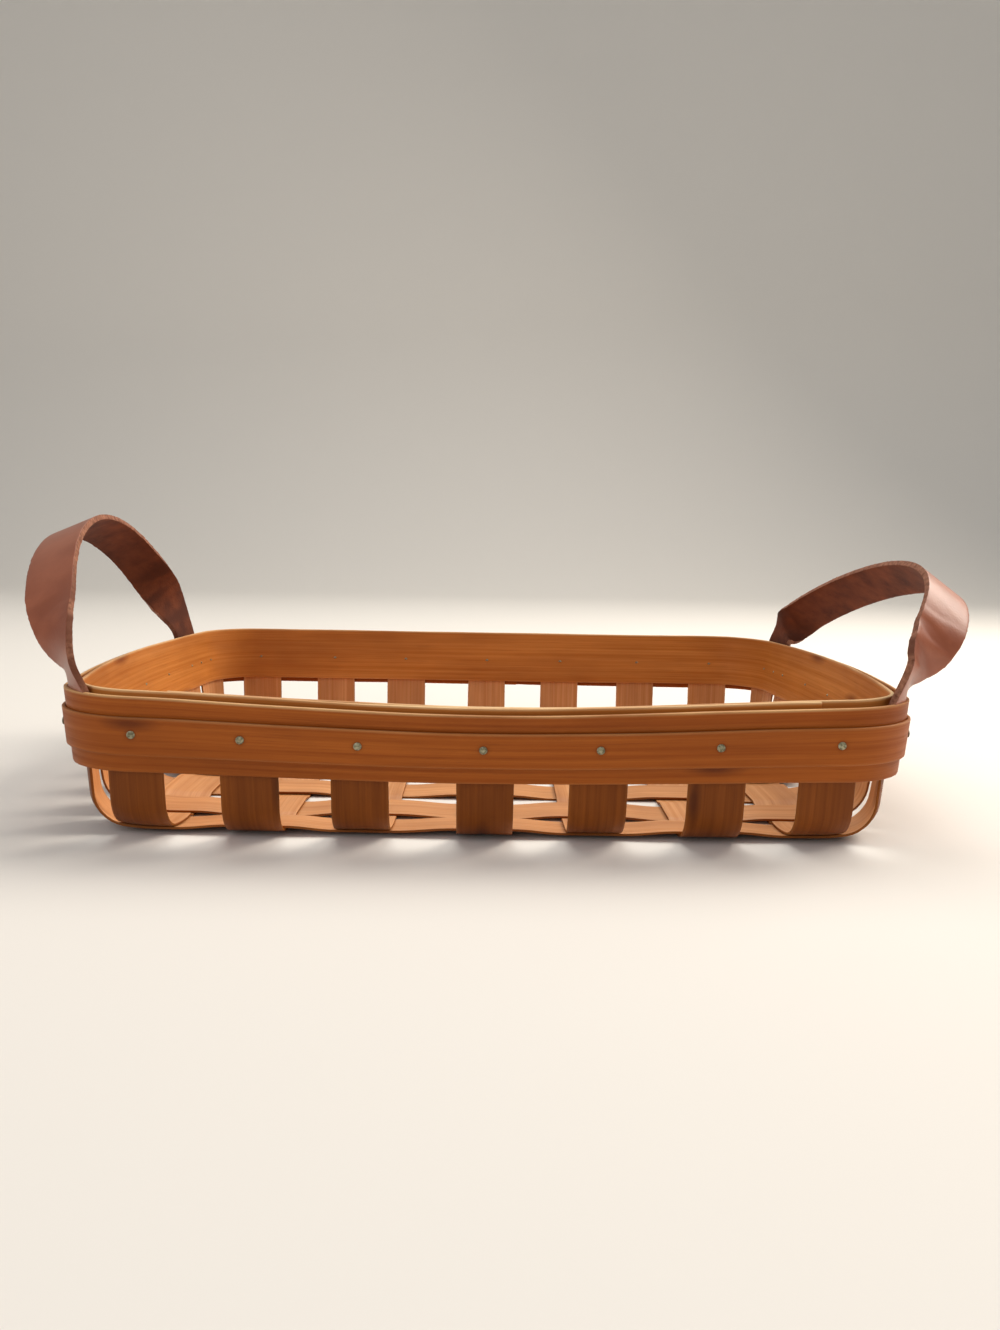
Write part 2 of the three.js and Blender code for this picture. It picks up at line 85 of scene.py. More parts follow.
def spread(first: float, last: float, steps: int) -> list[float]:
    """Step evenly from one number to another, both ends included."""
    return [mix(first, last, i / steps) for i in range(steps + 1)]


def wander(along: float, seed: float, length: float) -> float:
    """Drift smoothly between about -1 and 1, as a hand-cut edge does.

    Args:
        along: Distance along the edge in millimetres.
        seed: Number that gives each edge a drift of its own.
        length: Distance in millimetres over which the edge drifts from one side to the other.

    Returns:
        The drift at that distance.
    """
    return noise.noise(Vector((along / length, seed * DRIFT_ROWS[0], seed * DRIFT_ROWS[1])))


@dataclass(frozen=True)
class BasketShape:
    """Sizes of the basket in millimetres, with the lines that its pieces follow."""

    splint_width: float = 26.0
    splint_thickness: float = 1.2
    cross_shifts: tuple[float, ...] = (-2.0, -2.8, -5.5, -1.0, -2.0, -0.5, -2.0)
    long_shifts: tuple[float, ...] = (0.0, -5.5, -2.8, 0.0, 2.8, 5.5, 0.0)
    side_margin: float = 24.0
    end_margin: float = 30.5
    weave_slack: float = 1.0
    wall_length: float = 373.0
    wall_depth: float = 265.0
    corner_radius: float = 28.0
    bend_radius: float = 15.0
    edge_rise_width: float = 34.0
    front_tack_shifts: tuple[float, ...] = (0.0, -2.7, 0.0, -1.0, 0.0, 0.0, 4.0)
    edge_rise_radius: float = 110.0
    rim_height: float = 68.0
    upright_drop: float = 2.0
    flare: float = 2.8
    end_flare: float = 1.0
    front_bow: float = 6.5
    back_bow: float = 3.0
    end_bow: float = 16.0
    front_dip: float = 5.2
    back_dip: float = 0.5
    fit_gap: float = 0.4
    weave_gap: float = 0.5
    swing_gap: float = 0.8
    bend_passes: int = 8

    @property
    def half_length(self) -> float:
        """Half of the wall line's length."""
        return self.wall_length / 2

    @property
    def half_depth(self) -> float:
        """Half of the wall line's depth."""
        return self.wall_depth / 2

    @property
    def straight_length(self) -> float:
        """Half of the straight part of a long side."""
        return self.half_length - self.corner_radius

    @property
    def straight_depth(self) -> float:
        """Half of the straight part of an end."""
        return self.half_depth - self.corner_radius

    @property
    def corner_arc(self) -> float:
        """Length of the wall line round one corner."""
        return self.corner_radius * math.pi / 2

    @property
    def perimeter(self) -> float:
        """Length of the whole wall line."""
        return 4 * (self.straight_length + self.straight_depth + self.corner_arc)

    @property
    def right_end_middle(self) -> float:
        """Place of the right end's middle on the wall line."""
        return self.straight_length + self.corner_arc + self.straight_depth

    @property
    def back_middle(self) -> float:
        """Place of the back's middle on the wall line."""
        return self.perimeter / 2

    @property
    def left_end_middle(self) -> float:
        """Place of the left end's middle on the wall line."""
        return self.perimeter - self.right_end_middle

    @property
    def cross_places(self) -> list[float]:
        """X of each cross splint's middle."""
        return self._spaced(self.cross_shifts, self.half_length - self.end_margin)

    @property
    def long_places(self) -> list[float]:
        """Y of each long splint's middle."""
        return self._spaced(self.long_shifts, self.half_depth - self.side_margin)

    @property
    def strap_place(self) -> float:
        """Distance of a strap's tack from the middle of the basket's end."""
        return (self.long_places[-1] + self.long_places[-2]) / 2

    @property
    def weave_lift(self) -> float:
        """Height of a splint above or below the middle of the weave."""
        return (self.splint_thickness + self.weave_gap) / 2

    @property
    def base_level(self) -> float:
        """Height of the middle of the weave."""
        return self.splint_thickness / 2 + self.weave_lift

    def _spaced(self, shifts: Sequence[float], reach: float) -> list[float]:
        """Space strips evenly, then shift each by a listed amount.

        Args:
            shifts: How far each strip is from its even place.
            reach: Even place of the last strip.

        Returns:
            The middle of each strip.
        """
        places = spread(-reach, reach, len(shifts) - 1)
        return [place + shift for place, shift in zip(places, shifts)]

    def warp(self, x: float, y: float, z: float) -> Vector:
        """Lean the walls out with height, bow all four sides of the rim and dip the long ones.

        Args:
            x: Place along the basket before the walls lean.
            y: Place across the basket before the walls lean.
            z: Height before the sides dip.

        Returns:
            The finished place in millimetres.
        """
        rise = z / self.rim_height
        bow_along = 1 - (x / self.half_length) ** 2
        dip_along = math.cos(math.pi / 2 * x / self.half_length) ** 2
        front = max(0.0, -y / self.half_depth)
        back = max(0.0, y / self.half_depth)
        bow = bow_along * (self.back_bow * back - self.front_bow * front)
        end_bow = self.end_bow * (1 - (y / self.half_depth) ** 2)
        dip = dip_along * (self.front_dip * front + self.back_dip * back)
        return Vector((
            x * (1 + rise * (self.end_flare + end_bow) / self.half_length),
            y * (1 + rise * self.flare / self.half_depth) + rise * bow,
            z * (1 - dip / self.rim_height),
        ))

    def wall_at(self, place: float) -> tuple[Vector, Vector]:
        """Find the wall line on plan.

        Args:
            place: Arc length from the middle of the front, going to the right.

        Returns:
            The point there and the direction that points out of the basket.
        """
        left = place % self.perimeter
        corner = Vector((0.0, -self.half_depth))
        long_side = 2 * self.straight_length
        short_side = 2 * self.straight_depth
        lengths = (self.straight_length, short_side, long_side, short_side, self.straight_length)
        for turn, length in enumerate(lengths):
            heading = turn * math.pi / 2
            forward = Vector((math.cos(heading), math.sin(heading)))
            normal = Vector((forward.y, -forward.x))
            if left <= length:
                return corner + forward * left, normal
            left -= length
            centre = corner + forward * length - normal * self.corner_radius
            angle = min(left, self.corner_arc) / self.corner_radius
            turned = Matrix.Rotation(angle, 2) @ normal
            corner = centre + turned * self.corner_radius
            if left <= self.corner_arc:
                return corner, turned
            left -= self.corner_arc
        return corner, Vector((0.0, -1.0))

    def rim_point(self, place: float, out: float, height: float) -> Vector:
        """Find a point near the wall.

        Args:
            place: Arc length from the middle of the front.
            out: Distance out from the wall line.
            height: Height before the sides dip.

        Returns:
            The finished place in millimetres.
        """
        point, normal = self.wall_at(place)
        return self.warp(point.x + normal.x * out, point.y + normal.y * out, height)

    def edge_rise(self, distance: float, half: float) -> tuple[float, float]:
        """Give the height and slope of the base's gently rising border.

        Args:
            distance: Distance from the middle of the basket.
            half: Half of the basket's size in that direction.

        Returns:
            The height in millimetres and the slope.
        """
        past = max(0.0, abs(distance) - (half - self.edge_rise_width))
        return past**2 / (2 * self.edge_rise_radius), past / self.edge_rise_radius

    def bend_start(self, wall: float, half: float) -> tuple[float, float]:
        """Find where a splint leaves the base and starts its bend up the wall.

        Args:
            wall: Distance of the wall from the middle of the basket.
            half: Half of the basket's size in that direction.

        Returns:
            The distance from the middle, and the angle of the base there.
        """
        start = wall - self.bend_radius
        for _ in range(self.bend_passes):
            angle = math.atan(self.edge_rise(start, half)[1])
            start = wall - self.bend_radius * (1 - math.sin(angle))
        return start, math.atan(self.edge_rise(start, half)[1])


SHAPE = BasketShape()


class Zone(Enum):
    """The three stretches of a splint."""

    UPRIGHT = "upright"
    BEND = "bend"
    BASE = "base"


class End(Enum):
    """The two ends of the basket, as the sign of their X."""

    LEFT = -1
    RIGHT = 1


def linear_colour(code: str) -> tuple[float, float, float, float]:
    """Turn an sRGB hex colour into the linear colour that a shader takes.

    Args:
        code: Six hex digits.

    Returns:
        Red, green, blue and alpha.
    """
    channels = [int(code[i : i + 2], 16) / 255 for i in (0, 2, 4)]
    linear = [c / 12.92 if c <= 0.04045 else ((c + 0.055) / 1.055) ** 2.4 for c in channels]
    return (*linear, 1.0)


def add_node(
    tree: NodeTree,
    kind: str,
    settings: dict[str, Any] | None = None,
    inputs: dict[str | int, Any] | None = None,
) -> Node:
    """Add a node with its settings and links.

    Args:
        tree: Material's node tree.
        kind: Blender's name of the node.
        settings: Properties of the node.
        inputs: Value of each input, or the socket that feeds it.

    Returns:
        The new node.
    """
    node = tree.nodes.new(kind)
    for name, value in (settings or {}).items():
        setattr(node, name, value)
    for key, value in (inputs or {}).items():
        if isinstance(value, NodeSocket):
            tree.links.new(value, node.inputs[key])
        else:
            node.inputs[key].default_value = value
    return node


def start_material(name: str) -> tuple[Material, NodeTree]:
    """Make a material with only its output node.

    Args:
        name: Name of the material.

    Returns:
        The material and its node tree.
    """
    material = bpy.data.materials.new(name)
    material.use_nodes = True
    tree = material.node_tree
    tree.nodes.clear()
    return material, tree


def per_mm(along: float, across: float, deep: float = 1.0) -> tuple[float, float, float]:
    """Turn the size of a pattern in millimetres into a Mapping node's scale.

    Args:
        along: Size along the strip.
        across: Size across the strip.
        deep: Size in the third direction.

    Returns:
        The scale in each direction.
    """
    return 1 / (along * MM), 1 / (across * MM), 1 / (deep * MM)


def make_piece(name: str, shape: BMesh, materials: Sequence[Material]) -> Object:
    """Turn a finished shape into a smooth piece of the scene.

    Args:
        name: Name of the piece and of its mesh.
        shape: The shape, which is freed.
        materials: Finishes of the piece.

    Returns:
        The new piece.
    """
    for face in shape.faces:
        face.smooth = True
    mesh = bpy.data.meshes.new(name)
    shape.to_mesh(mesh)
    shape.free()
    for material in materials:
        mesh.materials.append(material)
    piece = bpy.data.objects.new(name, mesh)
    bpy.context.scene.collection.objects.link(piece)
    return piece


@dataclass(frozen=True)
class WoodFinish:
    """White oak splint, split along the grain, honey stained and wiped with oil."""

    name: str
    light: str
    middle: str
    dark: str
    worn: str
    roughness: float = 0.48
    shine: float = 0.3
    streak_length: float = 190.0
    streak_width: float = 2.2
    fibre_length: float = 30.0
    fibre_width: float = 0.6
    blotch_length: float = 110.0
    blotch_width: float = 26.0
    clear_share: float = 0.55
    knot_length: float = 230.0
    knot_spacing: float = 60.0
    wear: float = 0.85
    pore_depth: float = 0.6
    dull_streak: float = 0.1
    bright_streak: float = 0.05

    def build(self) -> Material:
        """Make the material: long streaks, fine dark pores, blotches of uneven staining, a few knots, pale
        edges and painted shade round the tacks.
        """
        material, tree = start_material(self.name)
        grain = add_node(tree, "ShaderNodeUVMap", {"uv_map": GRAIN_MAP})
        tone = add_node(tree, "ShaderNodeAttribute", {"attribute_name": "tone"})
        edge = add_node(tree, "ShaderNodeAttribute", {"attribute_name": "edge"})
        tack_shade = add_node(tree, "ShaderNodeAttribute", {"attribute_name": "tack_shade"})
        # Each strip shows a part of the tree's grain of its own
        shift = add_node(tree, "ShaderNodeCombineXYZ", None, {0: tone.outputs["Fac"], 1: tone.outputs["Fac"]})
        place = add_node(
            tree, "ShaderNodeVectorMath", {"operation": "ADD"}, {0: grain.outputs["UV"], 1: shift.outputs[0]}
        )
        blotch = self._noise(tree, place, per_mm(self.blotch_length, self.blotch_width), detail=3.0)
        streak = self._noise(tree, place, per_mm(self.streak_length, self.streak_width), detail=5.0)
        fibre = self._noise(tree, place, per_mm(self.fibre_length, self.fibre_width), detail=3.0)
        streak_share = add_node(
            tree, "ShaderNodeMapRange", None,
            {"Value": streak.outputs["Fac"], "From Min": 0.34, "From Max": 0.66},
        )
        blotch_share = add_node(
            tree, "ShaderNodeMapRange", None,
            {
                "Value": blotch.outputs["Fac"],
                "From Min": 0.32,
                "From Max": 0.62,
                "To Min": self.clear_share,
            },
        )
        pores = add_node(
            tree, "ShaderNodeMapRange", None,
            {"Value": fibre.outputs["Fac"], "From Min": 0.56, "From Max": 0.72, "To Max": 0.32},
        )
        body = add_node(
            tree, "ShaderNodeMix", COLOUR_MIX,
            {
                MIX_FACTOR: streak_share.outputs[0],
                MIX_A: linear_colour(self.middle),
                MIX_B: linear_colour(self.light),
            },
        )
        stained = add_node(
            tree, "ShaderNodeMix", COLOUR_MIX,
            {
                MIX_FACTOR: blotch_share.outputs[0],
                MIX_A: linear_colour(self.dark),
                MIX_B: body.outputs[MIX_RESULT],
            },
        )
        # Handling has rubbed the stain off the corners of the strips, in patches
        patches = add_node(
            tree, "ShaderNodeMapRange", None,
            {"Value": blotch.outputs["Fac"], "From Min": 0.36, "From Max": 0.6, "To Min": 0.25},
        )
        rubbed = add_node(
            tree, "ShaderNodeMath", {"operation": "MULTIPLY"}, {0: edge.outputs["Fac"], 1: patches.outputs[0]}
        )
        rub_share = add_node(
            tree, "ShaderNodeMath", {"operation": "MULTIPLY"}, {0: rubbed.outputs[0], 1: self.wear}
        )
        # Painted shade: the wood is darkened in a ring round each tack, over all the other layers
        layers = (
            (pores.outputs[0], self.dark),
            (self._knots(tree, place).outputs[0], self.dark),
            (rub_share.outputs[0], self.worn),
            (tack_shade.outputs["Fac"], self.dark),
        )
        colour = stained
        for share, code in layers:
            colour = add_node(
                tree, "ShaderNodeMix", COLOUR_MIX,
                {MIX_FACTOR: share, MIX_A: colour.outputs[MIX_RESULT], MIX_B: linear_colour(code)},
            )
        sheen = add_node(
            tree, "ShaderNodeMapRange", None,
            {
                "Value": streak.outputs["Fac"],
                "From Min": 0.3,
                "From Max": 0.7,
                "To Min": self.roughness + self.dull_streak,
                "To Max": self.roughness - self.bright_streak,
            },
        )
        relief = add_node(
            tree, "ShaderNodeMath", {"operation": "MULTIPLY_ADD"},
            {0: fibre.outputs["Fac"], 1: -self.pore_depth, 2: streak.outputs["Fac"]},
        )
        bump = add_node(
            tree, "ShaderNodeBump", None,
            {"Strength": 0.3, "Distance": 0.3 * MM, "Height": relief.outputs[0]},
        )
        surface = add_node(
            tree, "ShaderNodeBsdfPrincipled", None,
            {
                "Base Color": colour.outputs[MIX_RESULT],
                "Roughness": sheen.outputs[0],
                "Specular IOR Level": self.shine,
                "Normal": bump.outputs[0],
            },
        )
        add_node(tree, "ShaderNodeOutputMaterial", None, {"Surface": surface.outputs[0]})
        return material

    def _noise(
        self,
        tree: NodeTree,
        place: Node,
        scale: tuple[float, float, float],
        detail: float,
    ) -> Node:
        """Add noise stretched along the grain.

        Args:
            tree: Material's node tree.
            place: Node that gives the place on the strip.
            scale: Scale of the pattern in each direction.
            detail: How much finer noise is added.

        Returns:
            The noise node.
        """
        stretched = add_node(tree, "ShaderNodeMapping", None, {"Vector": place.outputs[0], "Scale": scale})
        return add_node(
            tree, "ShaderNodeTexNoise", None,
            {"Vector": stretched.outputs[0], "Scale": 1.0, "Detail": detail, "Roughness": 0.6},
        )

    def _knots(self, tree: NodeTree, place: Node) -> Node:
        """Add a few knots with a soft rim.

        Args:
            tree: Material's node tree.
            place: Node that gives the place on the strip.

        Returns:
            The node that tells how much of a knot shows.
        """
        stretched = add_node(
            tree, "ShaderNodeMapping", None,
            {"Vector": place.outputs[0], "Scale": per_mm(self.knot_length, self.knot_spacing)},
        )
        cells = add_node(
            tree, "ShaderNodeTexVoronoi", {"voronoi_dimensions": "2D"},
            {"Vector": stretched.outputs[0], "Scale": 1.0},
        )
        return add_node(
            tree, "ShaderNodeMapRange", None,
            {
                "Value": cells.outputs["Distance"],
                "From Min": 0.015,
                "From Max": 0.07,
                "To Min": 0.85,
                "To Max": 0.0,
            },
        )


@dataclass(frozen=True)
class LeatherFinish:
    """Vegetable-tanned cowhide strap: one face of it, waxed, rubbed and creased by use."""

    name: str
    light: str
    dark: str
    roughness: float
    pebble: float
    relief: float
    mottle: float
    shine: float = 0.35

    def build(self) -> Material:
        """Make the material: soft mottling, painted shade in the folds and a fine pebbled or fibrous relief.
        """
        material, tree = start_material(self.name)
        spot = add_node(tree, "ShaderNodeTexCoord")
        crease = add_node(tree, "ShaderNodeAttribute", {"attribute_name": "crease"})
        mottling = add_node(
            tree, "ShaderNodeTexNoise", None,
            {
                "Vector": spot.outputs["Object"],
                "Scale": 1 / (self.mottle * MM),
                "Detail": 4.0,
                "Roughness": 0.62,
            },
        )
        pebbles = add_node(
            tree, "ShaderNodeTexVoronoi", {"feature": "SMOOTH_F1"},
            {"Vector": spot.outputs["Object"], "Scale": 1 / (self.pebble * MM)},
        )
        share = add_node(
            tree, "ShaderNodeMapRange", None,
            {"Value": mottling.outputs["Fac"], "From Min": 0.32, "From Max": 0.68},
        )
        colour = add_node(
            tree, "ShaderNodeMix", COLOUR_MIX,
            {
                MIX_FACTOR: share.outputs[0],
                MIX_A: linear_colour(self.dark),
                MIX_B: linear_colour(self.light),
            },
        )
        # Painted shade: the colour goes dark in the folds
        folded = add_node(
            tree, "ShaderNodeMix", COLOUR_MIX,
            {
                MIX_FACTOR: crease.outputs["Fac"],
                MIX_A: colour.outputs[MIX_RESULT],
                MIX_B: linear_colour(self.dark),
            },
        )
        relief = add_node(
            tree, "ShaderNodeMath", {"operation": "ADD"},
            {0: pebbles.outputs["Distance"], 1: mottling.outputs["Fac"]},
        )
        bump = add_node(
            tree, "ShaderNodeBump", None,
            {"Strength": 0.4, "Distance": self.relief * MM, "Height": relief.outputs[0]},
        )
        surface = add_node(
            tree, "ShaderNodeBsdfPrincipled", None,
            {
                "Base Color": folded.outputs[MIX_RESULT],
                "Roughness": self.roughness,
                "Specular IOR Level": self.shine,
                "Normal": bump.outputs[0],
            },
        )
        add_node(tree, "ShaderNodeOutputMaterial", None, {"Surface": surface.outputs[0]})
        return material


@dataclass(frozen=True)
class TackFinish:
    """Brass-plated steel tack, dulled, with greenish grey tarnish on the head."""

    name: str = "tarnished_brass_plate"
    bright: str = "aba588"
    tarnish: str = "716d55"
    tarnish_size: float = 1.1

    def build(self) -> Material:
        """Make the material: metal with patches of tarnish that are also rougher."""
        material, tree = start_material(self.name)
        spot = add_node(tree, "ShaderNodeTexCoord")
        patches = add_node(
            tree, "ShaderNodeTexNoise", None,
            {"Vector": spot.outputs["Object"], "Scale": 1 / (self.tarnish_size * MM), "Detail": 3.0},
        )
        share = add_node(
            tree, "ShaderNodeMapRange", None,
            {"Value": patches.outputs["Fac"], "From Min": 0.38, "From Max": 0.62},
        )
        colour = add_node(
            tree, "ShaderNodeMix", COLOUR_MIX,
            {
                MIX_FACTOR: share.outputs[0],
                MIX_A: linear_colour(self.tarnish),
                MIX_B: linear_colour(self.bright),
            },
        )
        dullness = add_node(
            tree, "ShaderNodeMapRange", None,
            {
                "Value": patches.outputs["Fac"],
                "From Min": 0.35,
                "From Max": 0.65,
                "To Min": 0.62,
                "To Max": 0.45,
            },
        )
        surface = add_node(
            tree, "ShaderNodeBsdfPrincipled", None,
            {"Base Color": colour.outputs[MIX_RESULT], "Roughness": dullness.outputs[0], "Metallic": 0.6},
        )
        add_node(tree, "ShaderNodeOutputMaterial", None, {"Surface": surface.outputs[0]})
        return material


@dataclass(frozen=True)
class Backdrop:
    """Matt pale paper that the basket stands on, curved up behind it."""

    name: str = "pale_studio_paper"
    colour: str = "e9e6e1"
    half_width: float = 3500.0
    front: float = -2500.0
    back: float = 1500.0
    sweep_radius: float = 700.0
    height: float = 2600.0
    sweep_steps: int = 16

    def build(self) -> Object:
        """Make the floor, its upward sweep and the wall as one sheet."""
        material, tree = start_material(self.name)
        surface = add_node(
            tree, "ShaderNodeBsdfPrincipled", None,
            {"Base Color": linear_colour(self.colour), "Roughness": 0.9},
        )
        add_node(tree, "ShaderNodeOutputMaterial", None, {"Surface": surface.outputs[0]})
        sheet = bmesh.new()
        ends = [sheet.verts.new(Vector((x, self.front, 0)) * MM) for x in (-self.half_width, self.half_width)]
        strip = [sheet.edges.new(ends)]
        strip = self._drawn(sheet, strip, Vector((0, self.back - self.front, 0)) * MM)
        swept = bmesh.ops.spin(
            sheet, geom=strip, cent=Vector((0, self.back, self.sweep_radius)) * MM, axis=(1, 0, 0),
            angle=math.pi / 2, steps=self.sweep_steps,
        )
        top = [part for part in swept["geom_last"] if isinstance(part, BMEdge)]
        self._drawn(sheet, top, Vector((0, 0, self.height)) * MM)
        bmesh.ops.recalc_face_normals(sheet, faces=sheet.faces)
        backdrop = make_piece("studio_backdrop", sheet, [material])
        return backdrop

    def _drawn(
        self, sheet: BMesh, edges: list[BMEdge], move: Vector
    ) -> list[BMEdge]:
        """Draw edges out into a flat part of the sheet.

        Args:
            sheet: Sheet that is being made.
            edges: Edges to draw out.
            move: How far to draw them.

        Returns:
            The edges at the far side.
        """
        drawn = bmesh.ops.extrude_edge_only(sheet, edges=edges)["geom"]
        points = [part for part in drawn if isinstance(part, BMVert)]
        bmesh.ops.translate(sheet, vec=move, verts=points)
        edges_drawn = [part for part in drawn if isinstance(part, BMEdge)]
        return [edge for edge in edges_drawn if not set(edge.verts) - set(points)]


# Splint wood, outer and under faces: darker partly from stain and partly from painted shade
OUTSIDE_WOOD_PAINTED_SHADE = WoodFinish(
    "stained_oak_splint_outside_painted_shade",
    light="8c490e",
    middle="783b05",
    dark="502102",
    worn="c0843f",
    shine=0.2,
    clear_share=0.7,
)
# Splint wood, inner and upper faces: a lighter copy with painted light and sheen from above
INSIDE_WOOD_PAINTED_LIGHT = WoodFinish(
    "oak_splint_inside_painted_light",
    light="dda169",
    middle="c88447",
    dark="8d5020",
    worn="e6bb86",
    shine=0.5,
)
BAND_WOOD = WoodFinish(
    "stained_oak_band",
    light="ac5b17",
    middle="95480a",
    dark="642a03",
    worn="eec48a",
    shine=0.2,
    clear_share=0.72,
)
# Inner band: coloured lighter than the outer bands, painted light as its lit inner faces show
INNER_WOOD_PAINTED_LIGHT = WoodFinish(
    "oak_inner_band_painted_light",
    light="cf8741",
    middle="ba6f29",
    dark="7c3b0c",
    worn="f4d3a0",
    shine=0.2,
    clear_share=0.62,
)
STRAP_FACE = LeatherFinish(
    "waxed_strap_leather",
    light="aa6142",
    dark="8e492c",
    roughness=0.38,
    pebble=1.1,
    relief=0.1,
    mottle=34.0,
    shine=0.55,
)
# Strap back face: the flesh side, coloured dark partly by painted shade on the loops' inner faces
STRAP_BACK_PAINTED_SHADE = LeatherFinish(
    "strap_flesh_side_painted_shade",
    light="783c1e",
    dark="4e210b",
    roughness=0.8,
    pebble=0.8,
    relief=0.3,
    mottle=15.0,
)
STRAP_EDGE = LeatherFinish(
    "cut_leather_edge",
    light="ad775c",
    dark="6c3d29",
    roughness=0.8,
    pebble=0.7,
    relief=0.4,
    mottle=2.4,
)


@dataclass
class Strip:
    """A thin strip of wood or leather: its middle surface, its thickness and its finishes."""

    name: str
    thickness: float
    stations: Sequence[Any]
    columns: Sequence[float]
    width: float
    place: Callable[[Any, float], Vector]
    tone: float
    materials: Sequence[Material]
    corner: float = 0.28
    corner_segments: int = 2
    corner_angle: float = 40.0
    worn_edge: float = 1.3
    worn_shares: tuple[float, float] = (0.2, 0.2)
    tack_shade_at: Callable[[Any, float], float] | None = None
    crease_at: Callable[[Any, float], float] | None = None

    def build(self) -> Object:
        """Bend a grid to the strip's middle surface, then give it thickness and rounded corners."""
        grid = bmesh.new()
        grain = grid.loops.layers.uv.new(GRAIN_MAP)
        rows = len(self.stations) - 1
        lanes = len(self.columns) - 1
        bmesh.ops.create_grid(grid, x_segments=rows, y_segments=lanes, size=1.0, calc_uvs=True)
        points = [[self.place(station, column) for column in self.columns] for station in self.stations]
        lengths = self._lengths(points)
        edge = grid.verts.layers.float.new("edge")
        tone = grid.verts.layers.float.new("tone")
        tack_shade = grid.verts.layers.float.new("tack_shade")
        crease = grid.verts.layers.float.new("crease")
        for loop in [loop for face in grid.faces for loop in face.loops]:
            i = round((loop.vert.co.x + 1) / 2 * rows)
            j = round((loop.vert.co.y + 1) / 2 * lanes)
            loop[grain].uv = (lengths[i] * MM, self.columns[j] * MM)
        for vert in grid.verts:
            i = round((vert.co.x + 1) / 2 * rows)
            j = round((vert.co.y + 1) / 2 * lanes)
            vert.co = points[i][j] * MM
            vert[tone] = self.tone
            inset = self.width / 2 - abs(self.columns[j])
            vert[edge] = max(0.0, 1 - inset / self.worn_edge) * self.worn_shares[self.columns[j] > 0]
            if self.tack_shade_at:
                vert[tack_shade] = self.tack_shade_at(self.stations[i], self.columns[j])
            if self.crease_at:
                vert[crease] = self.crease_at(self.stations[i], self.columns[j])
        piece = make_piece(self.name, grid, self.materials)
        self._thicken(piece)
        return piece

    def _lengths(self, points: list[list[Vector]]) -> list[float]:
        """Measure along the strip's middle.

        Args:
            points: Places of the grid's points.

        Returns:
            The length from the strip's start to each station.
        """
        middle = len(self.columns) // 2
        lengths = [0.0]
        for before, after in zip(points, points[1:]):
            lengths.append(lengths[-1] + (after[middle] - before[middle]).length)
        return lengths

    def _thicken(self, piece: Object) -> None:
        """Give the strip its thickness, its other finishes on its back and rim, and soft corners."""
        solid = piece.modifiers.new("thickness", "SOLIDIFY")
        solid.thickness = self.thickness * MM
        solid.offset = 0.0
        solid.use_even_offset = True
        if len(self.materials) > 1:
            solid.material_offset = 1
            solid.material_offset_rim = 2
        rounding = piece.modifiers.new("corners", "BEVEL")
        rounding.width = self.corner * MM
        rounding.segments = self.corner_segments
        rounding.limit_method = "ANGLE"
        rounding.angle_limit = math.radians(self.corner_angle)


def strip_columns(width: float, edge: float = 1.3, inner: int = 4) -> list[float]:
    """Place the columns of a strip, with one close to each edge for the worn corner.

    Args:
        width: Width of the strip.
        edge: Width of the worn corner.
        inner: Steps between the worn corners.

    Returns:
        Distances from the strip's middle.
    """
    half = width / 2
    return [-half, *spread(-half + edge, half - edge, inner), half]


@dataclass(frozen=True)
class Station:
    """A place along a splint: its stretch, how far along that, its side and the weave's lift."""

    zone: Zone
    at: float
    side: float
    lift: float


